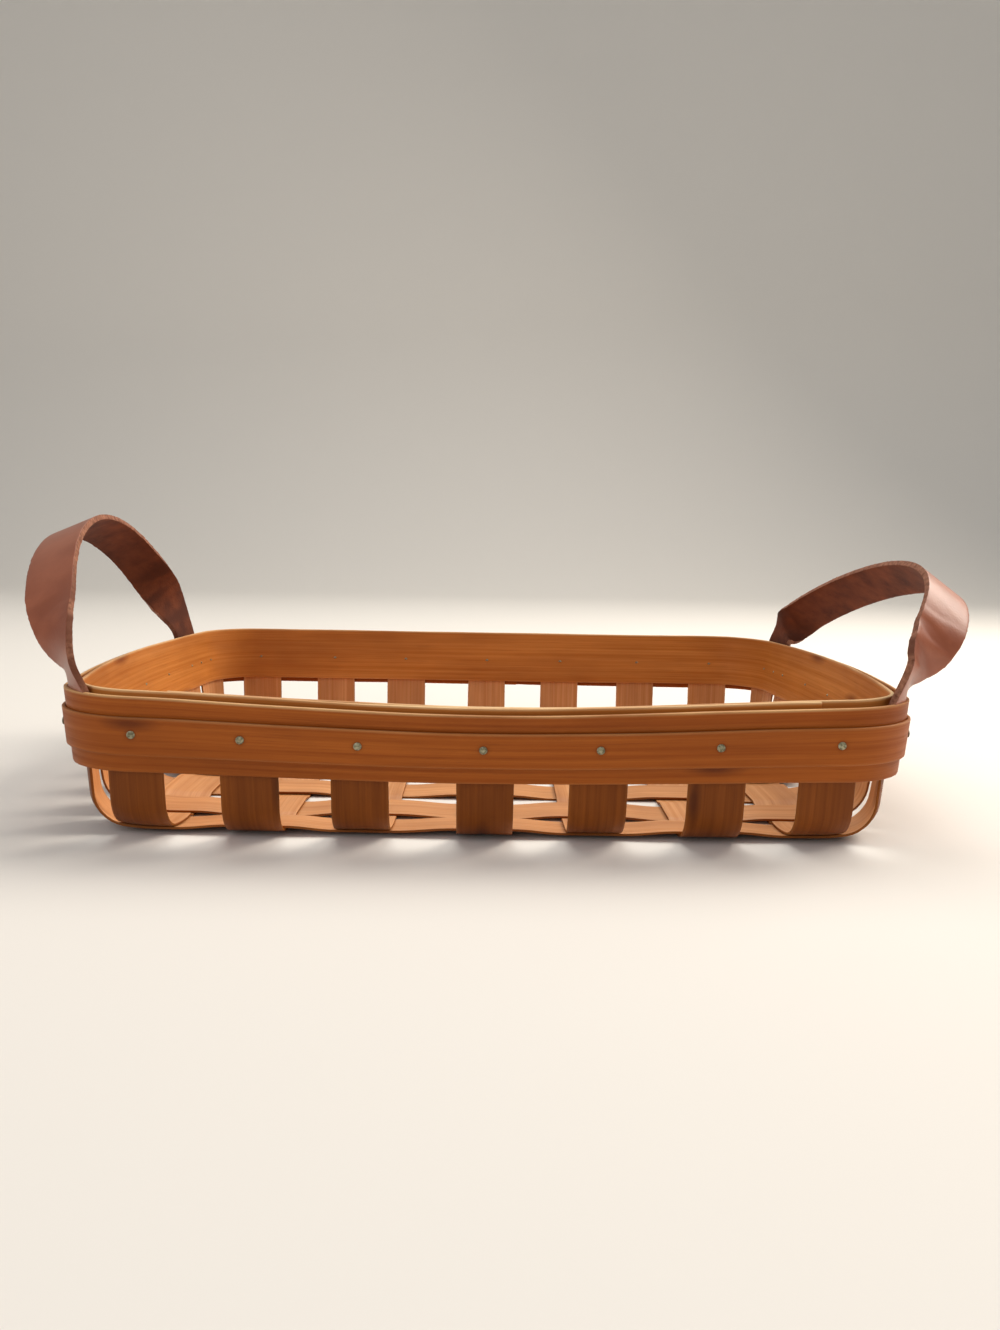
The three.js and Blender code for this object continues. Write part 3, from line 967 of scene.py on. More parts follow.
@dataclass
class Splint:
    """One woven strip: up one wall, across the base and up the wall opposite."""

    name: str
    along_x: bool
    centre: float
    crossed: Sequence[float]
    over: Sequence[bool]
    tone: float
    upright_steps: int = 7
    bend_steps: int = 8
    base_steps: int = 96
    ragged: float = 0.45
    drift_length: float = 45.0
    edge_seed: float = 3.0

    @property
    def half(self) -> float:
        """Half of the basket in the splint's direction."""
        return SHAPE.half_length if self.along_x else SHAPE.half_depth

    @property
    def half_across(self) -> float:
        """Half of the basket across the splint."""
        return SHAPE.half_depth if self.along_x else SHAPE.half_length

    def lift_at(self, at: float) -> float:
        """Tell how the splint weaves: 1 where it runs over, -1 where it runs under, eased between.

        Args:
            at: Distance from the middle of the basket along the splint.

        Returns:
            The lift as a share of the weave's lift.
        """
        reach = SHAPE.splint_width / 2 + SHAPE.weave_slack
        lifts = [1.0 if is_over else -1.0 for is_over in self.over]
        if at <= self.crossed[0]:
            return lifts[0]
        for i in range(len(self.crossed) - 1):
            start = self.crossed[i] + reach
            stop = self.crossed[i + 1] - reach
            if at <= stop:
                return mix(lifts[i], lifts[i + 1], smooth((at - start) / (stop - start)))
        return lifts[-1]

    def stations(self) -> list[Station]:
        """List the places along the splint from one top to the other."""
        reach = SHAPE.bend_start(self.half, self.half)[0]
        base = [
            Station(Zone.BASE, at, math.copysign(1.0, at), self.lift_at(at))
            for at in spread(-reach, reach, self.base_steps)
        ]
        first, last = base[0].lift, base[-1].lift
        bend = spread(0.0, 1.0, self.bend_steps)[1:]
        upright = spread(0.0, 1.0, self.upright_steps)[1:]
        left = [Station(Zone.BEND, at, -1.0, first) for at in bend]
        left += [Station(Zone.UPRIGHT, at, -1.0, 0.0) for at in upright]
        right = [Station(Zone.BEND, at, 1.0, last) for at in bend]
        right += [Station(Zone.UPRIGHT, at, 1.0, 0.0) for at in upright]
        return [*reversed(left), *base, *right]

    def place(self, station: Station, column: float) -> Vector:
        """Find a point of the splint's middle surface.

        Args:
            station: Place along the splint.
            column: Distance from the splint's middle line.

        Returns:
            The finished place in millimetres.
        """
        middle = SHAPE.right_end_middle if self.along_x else 0.0
        across = self.centre + column
        point, normal = SHAPE.wall_at(middle + across)
        reach, sideways = (point.x, point.y) if self.along_x else (-point.y, point.x)
        outward, side = (normal.x, normal.y) if self.along_x else (-normal.y, normal.x)
        start, angle = SHAPE.bend_start(reach, self.half)
        cross_rise = SHAPE.edge_rise(across, self.half_across)[0]
        foot = SHAPE.base_level + SHAPE.edge_rise(start, self.half)[0] + cross_rise
        foot += SHAPE.bend_radius * math.cos(angle)
        turn = 1.0
        lean = math.pi / 2
        lift = 0.0
        distance = reach
        height = foot
        if station.zone is Zone.BASE:
            outermost = self.half - SHAPE.edge_rise_width
            plain = SHAPE.bend_start(self.half, self.half)[0]
            distance = abs(station.at)
            if distance > outermost:
                distance = outermost + (distance - outermost) * (start - outermost) / (plain - outermost)
            rise, slope = SHAPE.edge_rise(distance, self.half)
            height = SHAPE.base_level + rise + cross_rise
            turn = 0.0
            lean = math.atan(slope)
            lift = station.lift * SHAPE.weave_lift
        elif station.zone is Zone.BEND:
            turn = station.at
            lean = mix(angle, math.pi / 2, turn)
            distance = start + SHAPE.bend_radius * (math.sin(lean) - math.sin(angle))
            height = foot - SHAPE.bend_radius * math.cos(lean)
            lift = station.lift * SHAPE.weave_lift * (1 - turn)
        else:
            height = mix(foot, SHAPE.rim_height - SHAPE.upright_drop, station.at)
        out = distance - lift * math.sin(lean) * mix(1.0, outward, turn)
        over = mix(across, sideways, turn) - lift * math.sin(lean) * mix(0.0, side, turn)
        z = height + lift * math.cos(lean)
        along = station.side * out
        over += self._ragged(along, z, column)
        return SHAPE.warp(along, over, z) if self.along_x else SHAPE.warp(over, along, z)

    def _ragged(self, along: float, height: float, column: float) -> float:
        """Let the splint's two edges drift a little, as split wood does.

        Args:
            along: Distance from the middle of the basket.
            height: Height above the table.
            column: Distance from the splint's middle line.

        Returns:
            How far the point moves across the splint.
        """
        run = along + math.copysign(height, along)
        share = column / (SHAPE.splint_width / 2)
        seed = self.tone + math.copysign(self.edge_seed, column)
        return self.ragged * share * abs(share) * wander(run, seed, self.drift_length)

    def build(self, outside: Material, inside: Material) -> Object:
        """Make the splint's mesh and put it in the place of its plain solid.

        Args:
            outside: Finish of the face that shows outside and below, coloured darker partly by stain and
                partly by painted shade.
            inside: Finish of the face that shows inside and above, coloured lighter by painted light and
                sheen.

        Returns:
            The piece.
        """
        faces = [inside, outside] if self.along_x else [outside, inside]
        strip = Strip(
            name=f"{self.name}_wood",
            thickness=SHAPE.splint_thickness,
            stations=self.stations(),
            columns=strip_columns(SHAPE.splint_width, inner=5),
            width=SHAPE.splint_width,
            place=self.place,
            tone=self.tone,
            materials=[*faces, outside],
        )
        piece = strip.build()
        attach(piece, "basket")
        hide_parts(self.name)
        return piece


@dataclass(frozen=True)
class RimLayers:
    """The hoops of the rim, as sizes in millimetres and distances from the wall line."""

    outer_height: float = 34.5
    outer_thickness: float = 1.8
    outer_lap: float = 40.0
    trim_height: float = 17.6
    trim_thickness: float = 1.5
    trim_drop: float = 8.8
    trim_lap: float = 40.0
    inner_height: float = 34.0
    inner_thickness: float = 1.8
    inner_stand: float = 2.5
    inner_start: float = -142.0
    inner_end: float = 148.0
    lap_ramp: float = 14.0
    strap_width: float = 25.0
    strap_thickness: float = 3.0
    strap_side_room: float = 5.0

    @property
    def outer_offset(self) -> float:
        """Middle of the outer band."""
        return SHAPE.splint_thickness / 2 + SHAPE.fit_gap + self.outer_thickness / 2

    @property
    def trim_offset(self) -> float:
        """Middle of the trim band."""
        return self.outer_offset + self.outer_thickness / 2 + SHAPE.fit_gap + self.trim_thickness / 2

    @property
    def strap_offset(self) -> float:
        """Middle of a strap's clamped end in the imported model, which sets the line that it swings on."""
        return SHAPE.splint_thickness / 2 + SHAPE.fit_gap + self.strap_thickness / 2

    @property
    def inner_back_offset(self) -> float:
        """Middle of the inner band where it lies on the uprights."""
        return -(SHAPE.splint_thickness / 2 + SHAPE.fit_gap + self.inner_thickness / 2)

    @property
    def inner_lap_offset(self) -> float:
        """Middle of the inner band where it lies on its own other end."""
        return self.inner_back_offset - self.inner_thickness - SHAPE.fit_gap

    @property
    def outer_lap_start(self) -> float:
        """Place where the outer band starts, on the back."""
        return SHAPE.back_middle - self.outer_lap / 2

    @property
    def trim_lap_start(self) -> float:
        """Place where the trim band starts, at the third cross splint on the back."""
        return SHAPE.back_middle - SHAPE.cross_places[2] - self.trim_lap / 2

    def lapped(self, at: float, lap_start: float) -> float:
        """Tell how far a hoop has moved out where it comes round to its own start."""
        return smooth((at - lap_start - SHAPE.perimeter + self.lap_ramp) / self.lap_ramp)

    def strap_push(self, at: float) -> float:
        """Tell how far the outer hoops are pushed out round the ends, where they run over the straps."""
        turn = at % SHAPE.perimeter
        away = min(abs(turn - SHAPE.right_end_middle), abs(turn - SHAPE.left_end_middle))
        reach = SHAPE.strap_place + self.strap_width / 2 + self.strap_side_room
        corner_stop = SHAPE.straight_depth + SHAPE.corner_arc
        step = self.strap_thickness + SHAPE.fit_gap
        return step * (1 - smooth((away - reach) / (corner_stop - reach)))

    def strap_at(self, at: float) -> float:
        """Give the distance of a strap's clamped end from the wall line, just inside the outer band."""
        return self.outer_at(at) - (self.outer_thickness + self.strap_thickness + SHAPE.fit_gap) / 2

    def outer_at(self, at: float) -> float:
        """Give the outer band's distance from the wall line."""
        step = self.outer_thickness + SHAPE.fit_gap
        return self.outer_offset + self.strap_push(at) + step * self.lapped(at, self.outer_lap_start)

    def trim_at(self, at: float) -> float:
        """Give the trim band's distance from the wall line, over the outer band's lap and its own."""
        start = self.outer_lap_start
        stop = start + self.outer_lap
        over = 0.0
        for turn in (at, at - SHAPE.perimeter):
            up = smooth((turn - start + self.lap_ramp) / self.lap_ramp)
            down = smooth((stop + self.lap_ramp - turn) / self.lap_ramp)
            over += min(up, down)
        outer_step = self.outer_thickness + SHAPE.fit_gap
        own_step = self.trim_thickness + SHAPE.fit_gap
        pushed = self.trim_offset + self.strap_push(at)
        return pushed + outer_step * over + own_step * self.lapped(at, self.trim_lap_start)

    def inner_at(self, at: float) -> float:
        """Give the inner band's distance from the wall line, from its hidden end to its outer one."""
        share = smooth((at - SHAPE.straight_length) / SHAPE.corner_arc)
        return mix(self.inner_lap_offset, self.inner_back_offset, share)

    def faces(self, at: float) -> tuple[float, float]:
        """Find the rim's outermost and innermost faces, where a tack's head sits and its point comes out.

        Args:
            at: Place on the wall line.

        Returns:
            The distances of the two faces from the wall line.
        """
        turn = at % SHAPE.perimeter
        in_trim_lap = self.trim_lap_start < turn < self.trim_lap_start + self.trim_lap
        outside = self.trim_at(turn) + self.trim_thickness / 2
        if in_trim_lap:
            outside += self.trim_thickness + SHAPE.fit_gap
        front = turn - SHAPE.perimeter if turn > SHAPE.back_middle else turn
        in_front_lap = self.inner_start < front < self.inner_end
        inside = self.inner_lap_offset if in_front_lap else self.inner_at(turn)
        return outside, inside - self.inner_thickness / 2


RIM = RimLayers()


def tack_places() -> dict[str, list[tuple[str, float]]]:
    """List every tack by its side of the basket, with its node's name and its place on the wall line."""
    cross = list(enumerate(SHAPE.cross_places, 1))
    along = list(enumerate(SHAPE.long_places, 1))
    left, right = SHAPE.left_end_middle, SHAPE.right_end_middle
    strap = SHAPE.strap_place
    return {
        "front": [(f"front_tack_{i}", x + shift) for (i, x), shift in zip(cross, SHAPE.front_tack_shifts)],
        "back": [(f"back_tack_{i}", SHAPE.back_middle - x) for i, x in cross],
        "left": [(f"left_tack_{j}", left - y) for j, y in along],
        "right": [(f"right_tack_{j}", right + y) for j, y in along],
        "strap": [
            ("left_front_strap_tack", left + strap),
            ("left_rear_strap_tack", left - strap),
            ("right_front_strap_tack", right - strap),
            ("right_rear_strap_tack", right + strap),
        ],
    }


@dataclass
class Hoop:
    """A band bent round the rim, lapped on itself."""

    name: str
    start: float
    stop: float
    bottom: float
    top: float
    thickness: float
    offset: Callable[[float], float]
    tone: float
    worn_shares: tuple[float, float]
    step: float = 5.0
    corner: float = 0.35
    tack_drop: float | None = None
    ragged: float = 0.4
    drift_length: float = 60.0
    edge_seed: float = 2.0
    halo: float = 3.6
    halo_depth: float = 0.95
    halo_stations: tuple[float, ...] = (-4.2, -3.0, -2.1, 0.0, 2.1, 3.0, 4.2)
    halo_columns: tuple[float, ...] = (-4.0, -2.6, -1.2, 0.0, 1.2, 2.6, 4.0)
    closest: float = 0.35
    worn_edge: float = 1.3

    def stations(self) -> list[float]:
        """List the places along the band, closer together round the tacks where they stain it."""
        count = math.ceil((self.stop - self.start) / self.step)
        places = spread(self.start, self.stop, count)
        if self.tack_drop is not None:
            for place in self._tacks():
                places += [place + d for d in self.halo_stations]
        places.sort()
        kept = [places[0]]
        for place in places[1:]:
            if place - kept[-1] > self.closest and self.start <= place <= self.stop:
                kept.append(place)
        return kept

    def _tacks(self) -> list[float]:
        """List the places of the tacks that the band meets, once for each time round."""
        found = [place for group in tack_places().values() for _, place in group]
        turns = (-SHAPE.perimeter, 0.0, SHAPE.perimeter)
        return [p + turn for p in found for turn in turns if self.start < p + turn < self.stop]

    def place(self, at: float, column: float) -> Vector:
        """Find a point of the band's middle surface.

        Args:
            at: Place on the wall line.
            column: Height above the band's middle line.

        Returns:
            The finished place in millimetres.
        """
        half = (self.top - self.bottom) / 2
        share = column / half
        seed = self.tone + math.copysign(self.edge_seed, column)
        drift = self.ragged * share * abs(share) * wander(at, seed, self.drift_length)
        height = (self.top + self.bottom) / 2 + column + drift
        return SHAPE.rim_point(at, self.offset(at), height)

    def tack_shade_at(self, at: float, column: float) -> float:
        """Tell how much painted shade darkens the wood round the nearest tack.

        Args:
            at: Place on the wall line.
            column: Height above the band's middle line.

        Returns:
            A share from 0 to 1.
        """
        if self.tack_drop is None:
            return 0.0
        height = (self.top + self.bottom) / 2 + column - (SHAPE.rim_height - self.tack_drop)
        nearest = min(math.hypot(at - place, height) for place in self._tacks())
        return self.halo_depth * smooth(1 - nearest / self.halo)

    def build(self, material: Material) -> Object:
        """Make the band's mesh and put it in the place of its plain solid."""
        width = self.top - self.bottom
        columns = strip_columns(width, inner=6)
        if self.tack_drop is not None:
            row = SHAPE.rim_height - self.tack_drop - (self.top + self.bottom) / 2
            inset = width / 2 - self.worn_edge
            near_tacks = [row + d for d in self.halo_columns]
            columns = sorted([-width / 2, -inset, *near_tacks, inset, width / 2])
        strip = Strip(
            name=f"{self.name}_wood",
            thickness=self.thickness,
            stations=self.stations(),
            columns=columns,
            width=width,
            place=self.place,
            tone=self.tone,
            materials=[material],
            corner=self.corner,
            worn_shares=self.worn_shares,
            tack_shade_at=self.tack_shade_at if self.tack_drop is not None else None,
        )
        piece = strip.build()
        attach(piece, "basket")
        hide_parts(self.name)
        return piece


@dataclass(frozen=True)
class Tacks:
    """The small domed tacks that hold the rim together, driven through and clinched inside."""

    drop: float = 16.8
    head_radius: float = 1.85
    head_height: float = 0.7
    head_rim: float = 0.22
    head_under_share: float = 0.94
    seat_gap: float = 0.06
    shank_radius: float = 0.8
    clinch_length: float = 2.6
    clinch_width: float = 0.75
    clinch_height: float = 0.5
    clinch_sink: float = 0.5 / 3
    clinch_tilt: float = 0.5
    tilt_length: float = 30.0
    spin_steps: int = 18
    dome_steps: int = 5
    merge_distance: float = 0.01

    def build(
        self, side: str, places: Sequence[tuple[str, float]], material: Material
    ) -> Object:
        """Make the tacks of one side as one piece.

        Args:
            side: Name of the side.
            places: Each tack's node and its place on the wall line.
            material: Finish of the tacks.

        Returns:
            The piece, in the place of those nodes.
        """
        metal = bmesh.new()
        for number, (_, place) in enumerate(places):
            self._add(metal, place, number)
        bmesh.ops.recalc_face_normals(metal, faces=metal.faces)
        piece = make_piece(f"{side}_tack_heads", metal, [material])
        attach(piece, "basket")
        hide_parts(*(name for name, _ in places))
        return piece

    def _profile(self, inside: float, seat: float) -> list[tuple[float, float]]:
        """List the tack's outline as radius and distance from the wall line, from its point to its dome."""
        rise = self.head_height - self.head_rim
        dome = [
            (self.head_radius * math.cos(t), seat + self.head_rim + rise * math.sin(t))
            for t in spread(0.0, math.pi / 2, self.dome_steps)
        ]
        dome[-1] = (0.0, seat + self.head_height)
        return [
            (0.0, inside - self.clinch_height),
            (self.shank_radius, inside),
            (self.shank_radius, seat),
            (self.head_radius * self.head_under_share, seat),
            *dome,
        ]

    def _add(self, metal: BMesh, place: float, number: int) -> None:
        """Turn one tack on the wall's normal and clinch its point along the band."""
        outside, inside = RIM.faces(place)
        height = SHAPE.rim_height - self.drop
        centre = SHAPE.rim_point(place, 0.0, height)
        out = (SHAPE.rim_point(place, 1.0, height) - centre).normalized()
        seat = (SHAPE.rim_point(place, outside, height) - centre).length + self.seat_gap
        depth = -(SHAPE.rim_point(place, inside, height) - centre).length
        up = (SHAPE.rim_point(place, 0.0, height + 1) - centre).normalized()
        side = out.cross(up).normalized()
        up = side.cross(out)
        points = [metal.verts.new((centre + side * r + out * d) * MM) for r, d in self._profile(depth, seat)]
        edges = [metal.edges.new(pair) for pair in zip(points, points[1:])]
        bmesh.ops.spin(
            metal, geom=[*points, *edges], cent=centre * MM, axis=out, angle=2 * math.pi,
            steps=self.spin_steps, use_merge=True,
        )
        valid = [vert for vert in metal.verts if vert.is_valid]
        bmesh.ops.remove_doubles(metal, verts=valid, dist=self.merge_distance * MM)
        # The point is hammered over against the inner band
        tilt = self.clinch_tilt * wander(place, number + 1.0, self.tilt_length)
        lie = Matrix((side, up, out)).transposed().to_4x4() @ Matrix.Rotation(tilt, 4, "Z")
        size = Matrix.Diagonal((self.clinch_length / 2, self.clinch_width / 2, self.clinch_height / 2, 1.0))
        spot = Matrix.Translation((centre + out * (depth - self.clinch_sink)) * MM)
        shape = spot @ lie @ Matrix.Scale(MM, 4) @ size
        bmesh.ops.create_icosphere(metal, subdivisions=2, radius=1.0, matrix=shape)


@dataclass
class StrapStation:
    """A place along a strap: a height on its front or rear end, or a share of the way along its loop."""

    part: str
    at: float


@dataclass
class Strap:
    """A leather handle: both ends clamped in the rim, a twist at each, and a loop that leans out."""

    name: str
    end: End
    lean: float
    front_place: float
    rear_place: float
    front_pull: tuple[float, float]
    rear_pull: tuple[float, float]
    tone: float
    front_twist: float
    rear_twist: float
    fold_depth: float
    bend_height: float
    tab_depth: float = 27.0
    tab_rise: float = 4.5
    tab_stand: float = 1.0
    tangent_step: float = 1e-3
    corner: float = 0.45
    worn_edge: float = 1.5
    tab_steps: int = 8
    loop_steps: int = 190
    loop_trim: int = 2
    ease_passes: int = 30
    ease_share: float = 0.5
    ease_depth: float = 4.0
    ease_length: float = 5.0
    ragged: float = 0.55
    fray_length: float = 3.0
    fold_length: float = 6.0
    fold_width: float = 18.0
    fold_reach: float = 1.5
    fold_contrast: float = 1.5
    fold_seed: float = 9.0

    @property
    def side(self) -> int:
        """Sign of the strap's X."""
        return self.end.value

    @property
    def axis_height(self) -> float:
        """Height of the line that the loop swings on."""
        return SHAPE.rim_height + self.tab_rise + SHAPE.swing_gap + RIM.strap_thickness / 2

    @property
    def hinge(self) -> Vector:
        """Middle of the line that the loop swings on."""
        x = self.side * (SHAPE.half_length + RIM.strap_offset)
        seat = SHAPE.warp(x, SHAPE.strap_place, SHAPE.rim_height + self.tab_rise)
        return Vector((seat.x, 0.0, self.axis_height))

    def seat(self, front: bool) -> float:
        """Find the place on the wall line where the front end or the rear end is clamped."""
        if self.end is End.LEFT:
            middle = SHAPE.left_end_middle
        else:
            middle = SHAPE.right_end_middle
        return middle - self.side * (self.front_place if front else -self.rear_place)

    def foot(self, front: bool) -> Vector:
        """Find where the loop leaves its front end or its rear end."""
        place = self.seat(front)
        foot = SHAPE.rim_point(place, RIM.strap_at(place), SHAPE.rim_height + self.tab_rise)
        foot.z = self.axis_height
        return foot

    def stations(self) -> list[StrapStation]:
        """List the places along the strap, from the foot of the front end to that of the rear end."""
        low = SHAPE.rim_height - self.tab_depth
        tab = spread(low, SHAPE.rim_height + self.tab_stand, self.tab_steps)
        # The loop's stations lie closer together near its ends
        shares = [s - math.sin(2 * math.pi * s) / (4 * math.pi) for s in spread(0.0, 1.0, self.loop_steps)]
        front = [StrapStation("front", z) for z in tab]
        loop = [StrapStation("loop", s) for s in shares[self.loop_trim : -self.loop_trim]]
        rear = [StrapStation("rear", z) for z in reversed(tab)]
        return [*front, *loop, *rear]

    def path(self, share: float) -> Vector:
        """Find the loop's middle line: a cubic curve in a leaning plane, pulled up from both of its ends.

        Args:
            share: Share of the way from the front end to the rear end.

        Returns:
            The place in millimetres.
        """
        angle = math.radians(self.lean)
        up = Vector((self.side * math.sin(angle), 0, math.cos(angle)))
        back = Vector((0, 1, 0))
        front, rear = self.foot(True), self.foot(False)
        front_knot = front + up * self.front_pull[0] + back * self.front_pull[1]
        rear_knot = rear + up * self.rear_pull[0] - back * self.rear_pull[1]
        left = 1 - share
        near_front = front * left**3 + front_knot * (3 * left**2 * share)
        near_rear = rear_knot * (3 * left * share**2) + rear * share**3
        return near_front + near_rear

    def rise(self, share: float) -> float:
        """Give the height of the loop's middle line above its ends, along the plane it leans in."""
        left = 1 - share
        return 3 * left * share * (left * self.front_pull[0] + share * self.rear_pull[0])

    def twisted(self, share: float) -> float:
        """Tell how far the strap has turned from lying along the wall to lying across the loop."""
        return self.rise(share) / (self.front_twist if share < 0.5 else self.rear_twist)

    def raw_place(self, station: StrapStation, column: float) -> Vector:
        """Find a point of the strap's middle surface before the leather eases into its bends.

        Args:
            station: Place along the strap.
            column: Distance from the strap's middle line.

        Returns:
            The place in millimetres.
        """
        if station.part != "loop":
            front = station.part == "front"
            place = self.seat(front) + (-column if front else column)
            return SHAPE.rim_point(place, RIM.strap_at(place), station.at)
        angle = math.radians(self.lean)
        away = Vector((self.side * math.cos(angle), 0, -math.sin(angle)))
        ahead = self.path(station.at + self.tangent_step)
        behind = self.path(station.at - self.tangent_step)
        tangent = (ahead - behind).normalized()
        over = away.cross(tangent) * self.side
        outward = SHAPE.wall_at(self.seat(station.at < 0.5))[1].to_3d()
        outer = outward.slerp(over, smooth(self.twisted(station.at)), over)
        wide = outer.cross(tangent).normalized()
        return self.path(station.at) + wide * column

    def build(self, materials: Sequence[Material]) -> Object:
        """Make the strap as one piece of leather, eased and creased where it leaves the rim."""
        columns = strip_columns(RIM.strap_width, edge=self.worn_edge, inner=8)
        stations = self.stations()
        grid = [[self.raw_place(station, column) for column in columns] for station in stations]
        grid = self._folded(self._eased(grid, stations), stations, columns)
        where = {(id(station), column): grid[i][j] for i, station in enumerate(stations)
                 for j, column in enumerate(columns)}
        strip = Strip(
            name=f"{self.name}_strap_leather",
            thickness=RIM.strap_thickness,
            stations=stations,
            columns=columns,
            width=RIM.strap_width,
            place=lambda station, column: where[(id(station), column)],
            tone=self.tone,
            materials=materials,
            corner=self.corner,
            crease_at=self.crease_at,
        )
        piece = strip.build()
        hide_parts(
            f"{self.name}_strap_loop", f"{self.name}_strap_front_end", f"{self.name}_strap_rear_end"
        )
        start = Vector((self.hinge.x, 0, SHAPE.rim_height + self.tab_stand)) * MM
        end = Vector((self.hinge.x, 0, self.axis_height + self.bend_height)) * MM
        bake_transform(piece)
        return piece

    def crease_at(self, station: StrapStation, column: float) -> float:
        """Tell how deep the strap is folded, near the places where it leaves the rim.

        Args:
            station: Place along the strap.
            column: Distance from the strap's middle line.

        Returns:
            A share from 0 to 1.
        """
        if station.part != "loop":
            return 0.0
        near = smooth(self.fold_reach - self.twisted(station.at))
        along = self.rise(station.at) / self.fold_length
        seed = self.tone * self.fold_seed + round(station.at)
        depth = noise.noise(Vector((along, column / self.fold_width, seed)))
        return near * smooth(0.5 + self.fold_contrast * depth)

    def _folded(
        self, grid: list[list[Vector]], stations: Sequence[StrapStation], columns: Sequence[float]
    ) -> list[list[Vector]]:
        """Sink the folds into the strap and fray its edges.

        Args:
            grid: Places of the strap's points, station by station.
            stations: The stations.
            columns: The columns across the strap.

        Returns:
            The places of the worn strap.
        """
        worn = [list(row) for row in grid]
        last = len(columns) - 1
        for i in range(1, len(grid) - 1):
            along = (grid[i + 1][last // 2] - grid[i - 1][last // 2]).normalized()
            run = i * self.fray_length / 2
            for j, column in enumerate(columns):
                across = (grid[i][min(j + 1, last)] - grid[i][max(j - 1, 0)]).normalized()
                sunk = self.fold_depth * self.crease_at(stations[i], column)
                worn[i][j] = grid[i][j] + across.cross(along) * sunk
                if j in (0, last):
                    fray = self.ragged * wander(run, self.tone + j, self.fray_length)
                    worn[i][j] += across * math.copysign(fray, column)
        return worn

    def _eased(self, grid: list[list[Vector]], stations: Sequence[StrapStation]) -> list[list[Vector]]:
        """Smooth the strap along its length where it leaves the rim and twists.

        Args:
            grid: Places of the strap's points, station by station.
            stations: The stations.

        Returns:
            The eased places.
        """
        fixed = SHAPE.rim_height - self.ease_depth
        free = [
            1.0 if station.part == "loop" else smooth((station.at - fixed) / self.ease_length)
            for station in stations
        ]
        for _ in range(self.ease_passes):
            before = grid
            grid = [list(row) for row in before]
            for i in range(1, len(before) - 1):
                for j in range(len(before[i])):
                    mean = (before[i - 1][j] + before[i + 1][j]) / 2
                    grid[i][j] = before[i][j].lerp(mean, self.ease_share * free[i])
        return grid


LEFT_STRAP = Strap(
    name="left",
    end=End.LEFT,
    lean=23.0,
    front_place=117.5,
    rear_place=88.0,
    front_pull=(52.0, -13.0),
    rear_pull=(133.0, 46.0),
    tone=0.31,
    front_twist=44.0,
    rear_twist=52.0,
    fold_depth=0.2,
    bend_height=32.0,
)
RIGHT_STRAP = Strap(
    name="right",
    end=End.RIGHT,
    lean=36.0,
    front_place=114.0,
    rear_place=102.0,
    front_pull=(113.0, 0.0),
    rear_pull=(34.0, 0.0),
    tone=0.67,
    front_twist=34.0,
    rear_twist=18.0,
    fold_depth=0.8,
    bend_height=19.0,
)


@dataclass(frozen=True)
class Lamp:
    """A soft square lamp: its place and side in millimetres, its power in watts and its colour."""

    name: str
    place: tuple[float, float, float]
    size: float
    power: float
    colour: str


@dataclass(frozen=True)
class Studio:
    """Camera at the photograph's viewing angle, and soft lamps."""

    camera_place: tuple[float, float, float] = (-1.0, -598.1, 146.8)
    pitch: float = 7.72
    yaw: float = 0.72
    roll: float = 1.04
    focal_pixels: float = 1050.0
    picture_height: float = 1330.0
    sensor: float = 36.0
    clip_start: float = 10.0
    lamps: tuple[Lamp, ...] = (
        Lamp("key_lamp", place=(1050, 350, 950), size=900, power=19.0, colour="fff4e6"),
        Lamp("top_lamp", place=(-100, 700, 1400), size=1200, power=12.0, colour="fffaf2"),
        Lamp("fill_lamp", place=(-700, -1300, 900), size=1200, power=5.5, colour="f8f8ff"),
    )
    sky_colour: str = "eceae6"
    sky_strength: float = 0.42

    def add_camera(self) -> None:
        """Place the camera and make it the scene's own."""
        camera = bpy.data.cameras.new("photo_camera")
        camera.sensor_width = self.sensor
        camera.lens = self.focal_pixels * self.sensor / self.picture_height
        camera.clip_start = self.clip_start * MM
        seen = bpy.data.objects.new("photo_camera", camera)
        pitch, yaw = math.radians(self.pitch), math.radians(self.yaw)
        ahead = Vector((math.sin(yaw) * math.cos(pitch), math.cos(yaw) * math.cos(pitch), -math.sin(pitch)))
        right = Vector((math.cos(yaw), -math.sin(yaw), 0))
        up = right.cross(ahead)
        level = Matrix((right, up, -ahead)).transposed().to_4x4()
        turned = level @ Matrix.Rotation(math.radians(self.roll), 4, "Z")
        seen.matrix_world = Matrix.Translation(Vector(self.camera_place) * MM) @ turned
        bpy.context.scene.collection.objects.link(seen)
        bpy.context.scene.camera = seen

    def add_lamp(self, lamp: Lamp) -> None:
        """Add a soft square lamp that points at the basket."""
        light = bpy.data.lights.new(lamp.name, "AREA")
        light.size = lamp.size * MM
        light.energy = lamp.power
        light.color = linear_colour(lamp.colour)[:3]
        holder = bpy.data.objects.new(lamp.name, light)
        spot = Vector(lamp.place) * MM
        aim = Vector((0, 0, SHAPE.rim_height / 2)) * MM - spot
        holder.matrix_world = Matrix.Translation(spot) @ aim.to_track_quat("-Z", "Y").to_matrix().to_4x4()
        bpy.context.scene.collection.objects.link(holder)

    def build(self) -> None:
        """Set the camera, the lamps, the sky and the view transform."""
        self.add_camera()
        for lamp in self.lamps:
            self.add_lamp(lamp)
        world = bpy.data.worlds.new("studio_sky")
        bpy.context.scene.world = world
        world.use_nodes = True
        sky = world.node_tree.nodes["Background"]
        sky.inputs["Color"].default_value = linear_colour(self.sky_colour)
        sky.inputs["Strength"].default_value = self.sky_strength
        bpy.context.scene.view_settings.view_transform = "Standard"


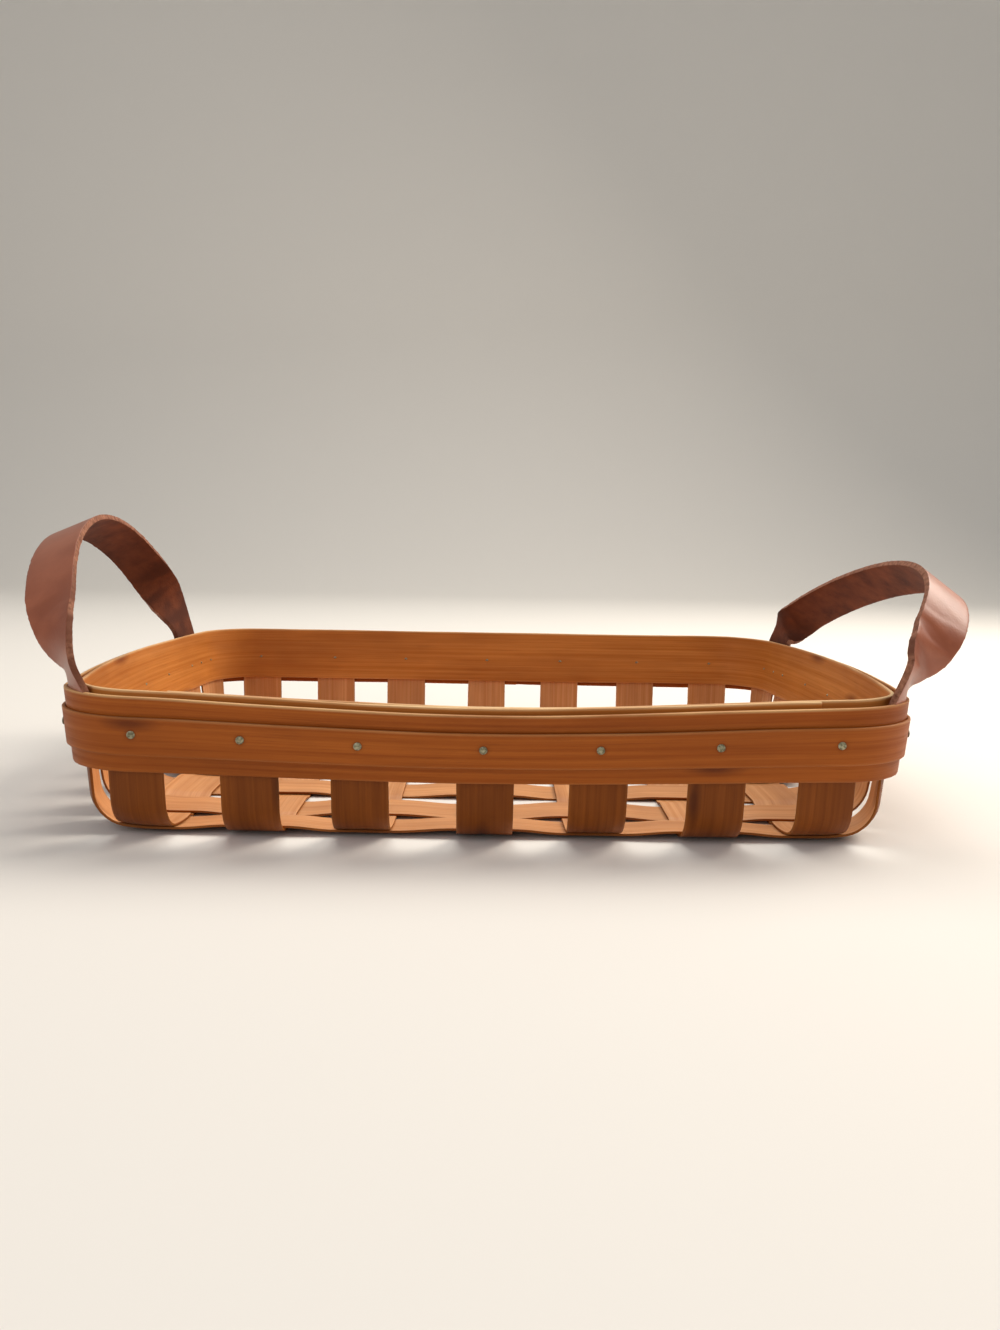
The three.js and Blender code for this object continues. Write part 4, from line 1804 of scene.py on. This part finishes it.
@dataclass
class Basket:
    """The whole basket, built piece by piece."""

    cross_tone: float = 0.137
    long_tone: float = 0.171
    long_tone_start: float = 1.3

    def build(self) -> None:
        """Build every piece and report it."""
        outside_wood_painted_shade = OUTSIDE_WOOD_PAINTED_SHADE.build()
        inside_wood_painted_light = INSIDE_WOOD_PAINTED_LIGHT.build()
        band_wood = BAND_WOOD.build()
        inner_wood_painted_light = INNER_WOOD_PAINTED_LIGHT.build()
        leather = [STRAP_FACE.build(), STRAP_BACK_PAINTED_SHADE.build(), STRAP_EDGE.build()]
        brass = TackFinish().build()
        for splint in self._splints():
            self._report(splint.build(outside_wood_painted_shade, inside_wood_painted_light))
        for hoop in self._hoops():
            self._report(hoop.build(inner_wood_painted_light if hoop.name == "inner_band" else band_wood))
        for side, places in tack_places().items():
            self._report(Tacks().build(side, places, brass))
        for strap in (LEFT_STRAP, RIGHT_STRAP):
            self._report(strap.build(leather))

    def _report(self, piece: Object) -> None:
        """Log one piece."""
        LOG.info("built %s with %d faces", piece.name, len(piece.data.polygons))

    def _splints(self) -> list[Splint]:
        """List the cross splints and the long splints, each over and under in turn."""
        crosses = [
            Splint(
                f"cross_splint_{i + 1}",
                along_x=False,
                centre=x,
                crossed=SHAPE.long_places,
                over=[(i + j) % 2 == 0 for j in range(len(SHAPE.long_places))],
                tone=self.cross_tone * (i + 1),
            )
            for i, x in enumerate(SHAPE.cross_places)
        ]
        longs = [
            Splint(
                f"long_splint_{j + 1}",
                along_x=True,
                centre=y,
                crossed=SHAPE.cross_places,
                over=[(i + j) % 2 == 1 for i in range(len(SHAPE.cross_places))],
                tone=self.long_tone_start + self.long_tone * (j + 1),
            )
            for j, y in enumerate(SHAPE.long_places)
        ]
        return crosses + longs

    def _hoops(self) -> list[Hoop]:
        """List the three bands."""
        rim = SHAPE.rim_height
        whole = SHAPE.perimeter
        trim_top = rim - RIM.trim_drop
        inner_top = rim + RIM.inner_stand
        return [
            Hoop(
                "outer_band",
                start=RIM.outer_lap_start,
                stop=RIM.outer_lap_start + whole + RIM.outer_lap,
                bottom=rim - RIM.outer_height,
                top=rim,
                thickness=RIM.outer_thickness,
                offset=RIM.outer_at,
                tone=2.71,
                worn_shares=(0.1, 0.85),
            ),
            Hoop(
                "trim_band",
                start=RIM.trim_lap_start,
                stop=RIM.trim_lap_start + whole + RIM.trim_lap,
                bottom=trim_top - RIM.trim_height,
                top=trim_top,
                thickness=RIM.trim_thickness,
                offset=RIM.trim_at,
                tone=3.37,
                worn_shares=(0.1, 0.3),
                tack_drop=Tacks().drop,
            ),
            Hoop(
                "inner_band",
                start=RIM.inner_start,
                stop=whole + RIM.inner_end,
                bottom=inner_top - RIM.inner_height,
                top=inner_top,
                thickness=RIM.inner_thickness,
                offset=RIM.inner_at,
                tone=4.19,
                worn_shares=(0.2, 1.0),
            ),
        ]


def main() -> None:
    """Build the basket, the backdrop and the studio in order."""
    logging.basicConfig(level=logging.INFO)
    Basket().build()
    Backdrop().build()
    Studio().build()


if __name__ == "__main__":
    main()
